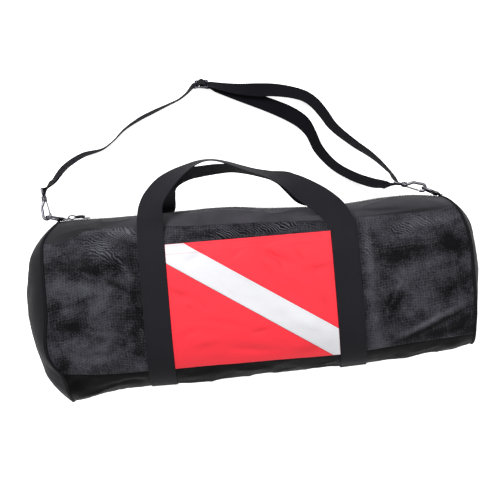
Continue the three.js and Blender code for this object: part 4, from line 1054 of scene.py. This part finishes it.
def ribbed(name, color, rib, gloss=0.05, sheen=0.015):
    """Webbing: ribs along its length with a slanted weave across them."""
    g = Graph(name)
    along, across = g.cloth()
    ribs = g.wave(across, rib)
    slant = g.wave(g.math("ADD", along, g.math("MULTIPLY", ribs, 1.1)), 1.7)
    cloud = g.noise(g.place(), 30.0, 4.0)
    dark, light = shades(color, 0.72, 1.2)
    tone = g.math("MULTIPLY_ADD", slant, 0.2, g.math("MULTIPLY", cloud, 0.45))
    tone = g.math("MULTIPLY_ADD", ribs, 0.35, tone)
    g.bump(g.math("MULTIPLY_ADD", slant, 0.45, ribs), 0.55, 0.4)
    return g.finish(g.mix(tone, dark, light), 0.78, sheen=sheen, specular=gloss)


EDGE_TINT = (0.25, 0.25, 0.28)


def metal(name, color, rough):
    """Plated wire: smudged, finely scratched, and with a painted dark reflection where it turns away."""
    g = Graph(name)
    g.shader.inputs["Specular Tint"].default_value = (*EDGE_TINT, 1)
    place = g.place()
    smudge, scratch = g.noise(place, 90.0, 5.0, 0.65), g.noise(place, 700.0, 2.0)
    dark, light = shades(color, 0.45, 1.8)
    edge = g.node("ShaderNodeLayerWeight")
    edge.inputs["Blend"].default_value = 0.55
    g.bump(scratch, 0.12, 0.08)
    # Painted dark reflection: the colour darkens towards the wire's outline, where it turns away from the
    # camera.
    turned = g.math("POWER", edge.outputs["Facing"], 1.3)
    shaded = g.mix(turned, g.mix(smudge, dark, light), shades(color, 0.08, 1)[0])
    return g.finish(shaded, g.spread(smudge, 0.3, 0.7, rough - 0.08, rough + 0.14), metallic=1.0)


def plain_cloth(name, color, rough=0.8, gloss=0.1):
    """Dull thread, tape or paint with a fine uneven surface."""
    g = Graph(name)
    fuzz = g.noise(g.place(), 500.0, 3.0)
    dark, light = shades(color, 0.75, 1.2)
    g.bump(fuzz, 0.5, 0.2)
    return g.finish(g.mix(fuzz, dark, light), rough, specular=gloss)


MESH_CLOTH = netting("mesh_cloth", (0.003, 0.003, 0.004), (0.1, 0.099, 0.118))
TOP_CLOTH = weave("top_cloth", (0.052, 0.050, 0.058), 0.9, 0.7, 0.05, vary=0.28)
BASE_CLOTH = weave("base_cloth", (0.0035, 0.0033, 0.0038), 0.9, 0.65, 0.05)
END_CLOTH = weave("end_cloth", (0.0085, 0.008, 0.0105), 0.9, 0.65, 0.06, vary=0.25)
RED_CLOTH = weave("red_cloth", (0.80, 0.029, 0.045), 0.8, 0.6, 0.2, bump=0.3, vary=0.04)
WHITE_CLOTH = weave("white_cloth", (0.625, 0.625, 0.65), 0.8, 0.6, 0.2, bump=0.25, vary=0.03)
TAPE_CLOTH = ribbed("tape_cloth", (0.006, 0.006, 0.007), 1.1, gloss=0.01)
COIL_PLASTIC = plain_cloth("coil_plastic", (0.006, 0.006, 0.007), 0.7, gloss=0.01)
WEB_CLOTH = ribbed("web_cloth", (0.0130, 0.0126, 0.0156), 2.1)
STRAP_CLOTH = ribbed("strap_cloth", (0.0058, 0.0054, 0.0074), 1.7, gloss=0.02, sheen=0.003)
BINDING = plain_cloth("binding", (0.005, 0.005, 0.006))
DARK_THREAD = plain_cloth("dark_thread", (0.009, 0.009, 0.011), 0.6)
RED_THREAD = plain_cloth("red_thread", (0.62, 0.02, 0.035), 0.6)
EDGE_THREAD = plain_cloth("edge_thread", (0.28, 0.012, 0.035), 0.6)
WHITE_THREAD = plain_cloth("white_thread", (0.5, 0.5, 0.56), 0.6)
STEEL = metal("steel", (0.125, 0.125, 0.14), 0.3)
ENAMEL = plain_cloth("enamel", (0.012, 0.012, 0.014), 0.4, gloss=0.08)


# Body pieces

for node, start, end, count, wall, cloth, slot, ripple, seed, light_and_shade_rows in (
    ("mesh_front", "upperFront", "lowerFront", 110, MESH_WALL, MESH_CLOTH, "mesh", 3.2, 1, MESH_LIGHT_AND_SHADE),
    ("mesh_back", "lowerBack", "upperBack", 90, MESH_WALL, MESH_CLOTH, "mesh", 2.2, 4, ()),
    ("top_panel_front", "zipFront", "upperFront", 34, PANEL_WALL, TOP_CLOTH, "top_cloth", 2.4, 7, PANEL_SHADE),
    ("top_panel_back", "upperBack", "zipBack", 34, PANEL_WALL, TOP_CLOTH, "top_cloth", 2.4, 10, PANEL_SHADE),
    ("bottom_panel", "lowerFront", "lowerBack", 60, PANEL_WALL, BASE_CLOTH, "base_cloth", 2.4, 13, PANEL_SHADE),
):
    cloth_panel(node, start, end, count, wall, cloth, slot, ripple, seed, light_and_shade_rows)
end_disc("end_left", LEFT_END, END_CLOTH)
end_disc("end_right", RIGHT_END, END_CLOTH)


def end_binding(name, end):
    """Rolled binding sewn over the end seam."""
    x = np.full(BINDING_COLUMNS, end["side"] * (end["length"] - 1.5))
    turns = np.linspace(0, 360, BINDING_COLUMNS, endpoint=False)
    path = skin(x, turns) + skin_normal(x, turns) * 0.4
    path[:, 2] = np.maximum(path[:, 2], BINDING_RADIUS + 0.2)
    points, faces = tube(path, BINDING_RADIUS, 10, closed=True)
    make_piece(name, points, faces, BINDING, "base_cloth")


end_binding("binding_left", LEFT_END)
end_binding("binding_right", RIGHT_END)


# Hollows and swells of the pocket: x, y, half sizes, skew in degrees, depth.
DIMPLES = [
    (-128, 6, 14, 8, -30, -1.6), (-100, -12, 20, 5, -55, -1.2), (-126, -66, 22, 9, 20, -1.3),
    (42, 66, 20, 6, -35, -1.9), (58, 50, 12, 5, -60, -1.6), (96, 62, 22, 4, -50, -1.5),
    (120, 36, 16, 5, -50, -1.4), (36, 90, 22, 5, 4, -1.0), (-26, 74, 18, 6, 30, -0.8),
    (8, -72, 22, 6, 8, -1.4), (-60, -50, 46, 9, -14, -0.9), (70, -6, 34, 8, -32, -1.0),
    (-8, 30, 40, 8, -28, 0.9), (80, 20, 30, 9, -40, 1.1), (-96, -82, 40, 9, 8, 0.8),
    (126, -70, 20, 12, -60, -1.0), (-44, 4, 26, 5, -50, -0.7),
]


# Soft shade in the folds of the pocket, as for the mesh.
FLAG_TONES = [
    (-138, 13, 26, 6, -25, -0.34), (-121, -15, 10, 6, -20, -0.26), (26, 50, 22, 5, -48, -0.26),
    (130, 41, 28, 5, 10, -0.32), (132, -24, 16, 10, -60, -0.24), (17, 96, 22, 4, 5, -0.18),
    (96, -112, 34, 9, 4, -0.22), (-94, -89, 26, 8, 10, -0.12), (52, -62, 34, 5, -28, -0.14),
    (40, 76, 18, 4, -35, -0.2), (96, 62, 20, 4, -50, -0.16), (-60, -50, 44, 8, -14, -0.1),
    (8, -72, 24, 6, 8, -0.12), (54, -39, 16, 10, 0, -0.12), (0, 9, 20, 7, -30, -0.08),
    (137, -103, 14, 10, 0, -0.16), (-100, 76, 24, 6, -20, -0.06),
]


def flag_relief(px, py):
    """Height of the pocket's dimples and small waves, flat along its sides and top."""
    edge = np.clip(np.minimum(px - FLAG_LEFT, FLAG_RIGHT - px) / 14, 0, 1)
    edge = edge * np.clip((FLAG_TOP - py) / 10, 0, 1)
    small = noise(px / 26 + 3, py / 18 + px / 60, 50) * 0.45 + noise(px / 11, py / 9, 51) * 0.14
    return (blobs(DIMPLES, px, py) * 1.2 + small) * edge


def flag_pocket():
    """Pocket cloth over the mesh between the two webbing legs."""
    x = np.linspace(FLAG_LEFT + 0.4, FLAG_RIGHT - 0.4, FLAG_COLUMNS)
    grid_x, turn = panel_grid(x, "flagTop", "lowerFront", FLAG_ROWS)
    base, normal = skin(grid_x, turn), skin_normal(grid_x, turn)
    px, py = base[..., 0], base[..., 1]
    outer = base + normal * (SEAM_GAP + FLAG_WALL + flag_relief(px, py))[..., None]
    points, faces = sheet(outer, outer - normal * FLAG_WALL)
    uv = np.stack([px, lengths(base, 0)], -1).reshape(-1, 2)
    tones = {"tone": np.tile(blobs(FLAG_TONES, px, py).ravel(), 2)}
    make_piece("flag_cloth", points, faces, RED_CLOTH, "flag_red", "flag_pocket", doubled(uv), tones=tones)
    return outer, normal


def stripe_lines():
    """Both ends of the stripe's middle line, in plan."""
    start = skin(FLAG_LEFT, girth_line("flagTop", np.array(FLAG_LEFT)))[:2]
    end = skin(FLAG_RIGHT, girth_line("lowerFront", np.array(FLAG_RIGHT)))[:2]
    start[1] -= STRIPE_START
    end[1] += STRIPE_END
    return start, end


def on_front(px, py):
    """Point and normal of the front at places in plan."""
    px, py = np.asarray(px, float), np.asarray(py, float)
    turn = turn_at_y(section_at(px), py)
    base = skin(px, turn)
    turn = turn_at_y(section_at(px), py - (base[..., 1] - py))
    return skin(px, turn), skin_normal(px, turn)


def flag_stripe():
    """White stripe, cut to the pocket's outline at both ends."""
    start, end = stripe_lines()
    way = unit(end - start)
    side = np.array([-way[1], way[0]])
    reach = np.linspace(-260, 260, 2081)
    rows = []
    for share in np.linspace(-0.5, 0.5, STRIPE_ROWS):
        origin = (start + end) / 2 + side * share * STRIPE_WIDTH
        px, py = origin[0] + way[0] * reach, origin[1] + way[1] * reach
        keep = (px > FLAG_LEFT + 0.6) & (px < FLAG_RIGHT - 0.6)
        keep &= (py < FLAG_TOP - 0.6) & (py > section_at(px)["lower"] + 0.8)
        line = np.stack([px[keep], py[keep]], -1)
        rows.append(resample(line, STRIPE_COLUMNS))
    plan = np.array(rows)
    base, normal = on_front(plan[..., 0], plan[..., 1])
    height = flag_relief(plan[..., 0], plan[..., 1])
    lift = SEAM_GAP + FLAG_WALL + STRIPE_WALL + height
    outer = base + normal * lift[..., None]
    points, faces = sheet(outer[::-1], (outer - normal * (STRIPE_WALL - 0.05))[::-1])
    uv = plan[::-1].reshape(-1, 2)
    tones = {"tone": np.tile(blobs(FLAG_TONES, uv[:, 0], uv[:, 1]) * STRIPE_SHADE, 2)}
    make_piece("stripe_cloth", points, faces, WHITE_CLOTH, "flag_white", "flag_stripe", doubled(uv),
               tones=tones)
    return outer, normal


flag_outer, flag_normal = flag_pocket()
stripe_outer, stripe_normal = flag_stripe()

webbing_piece("webbing_front", FRONT_HANDLE, ("flagTop", "upperFront"), 0.5, True, WEB_CLOTH)
webbing_piece("webbing_back", BACK_HANDLE, ("lowerBack", "upperBack"), 1.0, False, WEB_CLOTH)


def stitch_row(points, normals, spacing, length, width, height):
    """Stitches at even steps along a path on the cloth."""
    run = run_along(points)
    at = np.arange(spacing / 2, run[-1] - spacing / 4, spacing)
    middles, outs = pick(at, run, points), unit(pick(at, run, normals))
    way = pick(at, run, np.gradient(points, run, axis=0))
    way = unit(way - outs * np.sum(way * outs, axis=1, keepdims=True))
    return boxes(middles, way, outs, length, width, height)


def web_stitches():
    """Edge stitching of the four legs on the front and the back."""
    parts = []
    for middle_x in (-WEB_LEFT, WEB_RIGHT):
        for line, share in ((("flagTop", "upperFront"), 0.4), (("lowerBack", "upperBack"), 0.95)):
            for offset in (-HALF_WEB + 4, HALF_WEB - 4):
                x, t = np.full(120, middle_x + offset), np.linspace(0.04, 1, 120)
                top = girth_line(line[0], x) * (1 - share) + girth_line(line[1], x) * share
                turn = -90 * (1 - t) + top * t
                normal = skin_normal(x, turn)
                path = skin(x, turn) + normal * (WEB_LIFT - 0.1)
                parts.append(stitch_row(path, normal, *WEB_STITCH))
    make_piece("webbing_stitches", *merge(parts), DARK_THREAD, "webbing")


web_stitches()


def flag_stitches():
    """Rows along the pocket's edges, across the stripe and along its sides."""
    red = [(flag_outer[row], flag_normal[row]) for row in (3, 15, -4)]
    red += [(flag_outer[:, column], flag_normal[:, column]) for column in (3, -4)]
    start, end = stripe_lines()
    way = unit(end - start)
    for points, normals in red[:2]:
        from_line = (points[:, :2] - (start + end) / 2) @ np.array([-way[1], way[0]])
        over = np.abs(from_line) < STRIPE_WIDTH / 2 - 1
        red.append((points[over] + normals[over] * (STRIPE_WALL + 0.1), normals[over]))
    white = [(stripe_outer[row], stripe_normal[row]) for row in (2, -3)]
    for name, paths, thread, slot in (
        ("flag_stitches", red, RED_THREAD, "flag_red"),
        ("stripe_stitches", white, WHITE_THREAD, "flag_white"),
    ):
        rows = [stitch_row(points, normals, *FLAG_STITCH) for points, normals in paths]
        make_piece(name, *merge(rows), thread, slot)
    cords = [tube(stripe_outer[row] - stripe_normal[row] * STRIPE_CORD, STRIPE_CORD, 8) for row in (0, -1)]
    make_piece("stripe_edges", *merge(cords), EDGE_THREAD, "flag_red")


flag_stitches()


def zipper():
    """Tape between the top panels, with a coil of interlocked teeth along its middle."""
    x = np.linspace(-LEFT_LENGTH + 0.2, RIGHT_LENGTH - 0.2, PANEL_COLUMNS)
    start, end = girth_line("zipFront", x), girth_line("zipBack", x) + 360
    t = np.linspace(0.006, 0.994, TAPE_ROWS)[:, None]
    turn = start * (1 - t) + end * t
    flat, normal = skin(x, turn), skin_normal(x, turn)
    outer = flat - normal * 0.1
    points, faces = sheet(outer, outer - normal * TAPE_WALL)
    uv = np.stack(np.broadcast_arrays(x, t * TAPE_WIDTH), -1).reshape(-1, 2)
    make_piece("zipper_tape", points, faces, TAPE_CLOTH, "zip_tape", "zipper", doubled(uv))
    middle, out = flat[TAPE_ROWS // 2], normal[TAPE_ROWS // 2]
    run = run_along(middle)
    at = np.arange(6, run[-1] - 6, TOOTH_STEP)
    place, outs = pick(at, run, middle), unit(pick(at, run, out))
    way = unit(np.gradient(place, axis=0))
    side = np.cross(outs, way)
    shift = np.where(np.arange(len(at)) % 2 == 0, 1.1, -1.1)[:, None]
    points, faces = boxes(place + side * shift, side, outs, 3.6, 1.1, COIL_RISE)
    make_piece("zipper_teeth", points, faces, COIL_PLASTIC, "zip_tape")


zipper()


def sewn_leaf(hook):
    """The strap's end, turned back from the left eye and sewn along the strap."""
    middles, wides = floor_stations(SINGLE_STRAND)
    last = np.array(middles[::-1][:3])
    way = unit(last[0] - last[2])
    side = unit(np.cross(wides[-1], way))
    side = side * np.sign(side @ -hook[:3, 1]) * (STRAP_WALL + FIT)
    return [p + side for p in last[:2]], [wides[-1], wides[-2]]


def shoulder_strap():
    """From the slider to the right eye, back through the slider and on to the left eye."""
    right, left = hook_frame(HOOK_RIGHT, RIGHT_RING_X), hook_frame(HOOK_LEFT, LEFT_RING_X)
    glide = frame_of(GLIDE["middle"], GLIDE["way"], GLIDE["axis"])
    groups = [
        turn_round(glide, 0, GLIDE_WIRE, 120), through(glide, GLIDE_END),
        floor_stations(LOWER_STRAND), turn_round(right, EYE_END, EYE_WIRE, 90),
        floor_stations(UPPER_STRAND), through(glide, GLIDE_PASS), floor_stations(SINGLE_STRAND),
        turn_round(left, EYE_END, EYE_WIRE, 90), sewn_leaf(left),
    ]
    middles = np.array([p for group in groups for p in group[0]])
    wides = np.array([w for group in groups for w in group[1]], float)
    for i in range(1, len(wides)):
        if wides[i] @ wides[i - 1] < 0:
            wides[i] = -wides[i]
    middle, wide, out = smooth_stations(middles, wides, 2.2, 1)
    points, faces, uv = ribbon(middle, wide, out, STRAP_WIDTH, STRAP_WALL * 0.9)
    points[:, 2] = np.maximum(points[:, 2], 0.3)
    make_piece("shoulder_strap_cloth", points, faces, STRAP_CLOTH, "strap", "shoulder_strap", uv)


shoulder_strap()


def ring_tab(node, ring_x, length):
    """Webbing folded round a ring's bar."""
    radius = RING_WIRE / 2 + FIT + TAB_WALL / 2
    upper = -radius + TAB_WALL + FIT
    path = [(length, -radius), (length * 0.5, -radius)]
    for turn in np.radians(np.arange(-90, -301, -30)):
        path.append((radius * math.cos(turn), radius * math.sin(turn)))
    path += [(length * 0.6, upper), (length, upper)]
    line = spline(np.array([(x, y, 0.0) for x, y in path]), 60)
    place = rotate(line, tab_frame(ring_x))
    wide = np.tile(tab_frame(ring_x)[:3, 2], (60, 1))
    way = unit(np.gradient(place, axis=0))
    points, faces, uv = ribbon(place, wide, np.cross(wide, way), TAB_WIDTH, TAB_WALL * 0.9)
    make_piece(f"{node}_web", points, faces, STRAP_CLOTH, "strap", node, uv)


def wire_piece(node, parts, place, body="bag"):
    make_piece(f"{node}_wire", rotate(parts[0], place), parts[1], STEEL, "metal", node, body=body)


for side, ring_x, hook, tab in (
    ("left", LEFT_RING_X, HOOK_LEFT, 15), ("right", RIGHT_RING_X, HOOK_RIGHT, 12),
):
    ring_tab(f"dring_tab_{side}", ring_x, tab)
    wire_piece(f"dring_{side}", ring_parts(), ring_frame(ring_x))
    wire_piece(f"hook_{side}", hook_parts(), hook_frame(hook, ring_x))
    wire_piece(f"gate_{side}", gate_parts(), hook_frame(hook, ring_x), f"gate_{side}")
wire_piece("strap_slider", glide_parts(), frame_of(GLIDE["middle"], GLIDE["way"], GLIDE["axis"]))


def zip_frame():
    point, along, across, out = zip_place(-LEFT_LENGTH + SLIDER_INSET)
    matrix = np.eye(4)
    matrix[:3, 0], matrix[:3, 1], matrix[:3, 2] = along, out, across
    matrix[:3, 3] = point + out * (COIL_RISE + FIT)
    return matrix


def zip_pull():
    """Pull: an eye on the slider's bridge, an enamelled tongue and an oval ring."""
    ring = spline([(-7, 0, 0), (0, 3.9, 0), (7, 0, 0), (0, -3.9, 0)], 48, closed=True)
    ring += np.array([-PULL_LENGTH + 3, -0.8, 0])
    eye = spline([(0, 1.7, 0), (1.7, 0, 0), (0, -1.7, 0), (-1.7, 0, 0)], 28, closed=True)
    line = np.linspace((-1.8, -0.3, 0), (-PULL_LENGTH + 9.5, -1.0, 0), 14)
    tongue = tube(line, 3.0, 14, flatten=0.36, wide=(0, 1, 0))
    matrix = zip_frame()
    matrix[:3, 3] = (matrix @ np.array([-4, SLIDER_HEIGHT * 0.8, 0, 1]))[:3]
    loops = merge([tube(ring, 1.35, 12, closed=True), tube(eye, 0.45, 10, closed=True)])
    wire_piece("zipper_pull", loops, matrix, "zipper_pull")
    points = rotate(tongue[0], matrix)
    make_piece("zipper_pull_tongue", points, tongue[1], ENAMEL, "slider", body="zipper_pull")


zip_pull()
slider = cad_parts["zipper_slider"]
slider.data.materials.clear()
slider.data.materials.append(ENAMEL)


# Camera, floor and light

camera_data = bpy.data.cameras.new("camera")
camera_data.lens = CAMERA_LENS
camera_data.sensor_width = CAMERA_SENSOR
camera = bpy.data.objects.new("camera", camera_data)
camera.location = CAMERA_PLACE
camera.rotation_euler = (0, 0, math.radians(CAMERA_TURN))
bpy.context.collection.objects.link(camera)
bpy.context.scene.camera = camera

floor_graph = Graph("floor_paint")
floor_tone = floor_graph.noise(floor_graph.place(), 3.0)
floor_graph.shader.inputs["Emission Color"].default_value = (1, 1, 1, 1)
floor_graph.shader.inputs["Emission Strength"].default_value = FLOOR_GLOW
floor_color = floor_graph.mix(floor_tone, (0.93, 0.93, 0.93), (0.96, 0.96, 0.96))
floor_paint = floor_graph.finish(floor_color, 0.9, specular=0.1)
floor_corners = [(-1, -1), (1, -1), (1, 1), (-1, 1)]
floor_points = [(x * FLOOR_REACH, y * FLOOR_REACH, -FLOOR_DROP) for x, y in floor_corners]
floor = make_piece("floor", floor_points, [(0, 1, 2, 3)], floor_paint, body=None, smooth=False)


def softbox(name, location, size, power):
    light = bpy.data.lights.new(name, "AREA")
    light.shape = "RECTANGLE"
    light.size, light.size_y = size
    light.energy = power
    lamp = bpy.data.objects.new(name, light)
    lamp.location = location
    aim = Vector((0, 0.05, 0.1)) - Vector(location)
    lamp.rotation_euler = aim.to_track_quat("-Z", "Y").to_euler()
    bpy.context.collection.objects.link(lamp)


softbox("key_light", (-1.6, 2.2, 2.4), (1.4, 1.4), 125)
softbox("fill_light", (2.2, -0.6, 2.4), (1.6, 1.6), 35)
world = bpy.data.worlds.new("studio")
world.use_nodes = True
world.node_tree.nodes["Background"].inputs[0].default_value = (1, 1, 1, 1)
world.node_tree.nodes["Background"].inputs[1].default_value = 0.65
bpy.context.scene.world = world
bpy.context.scene.view_settings.view_transform = "Standard"
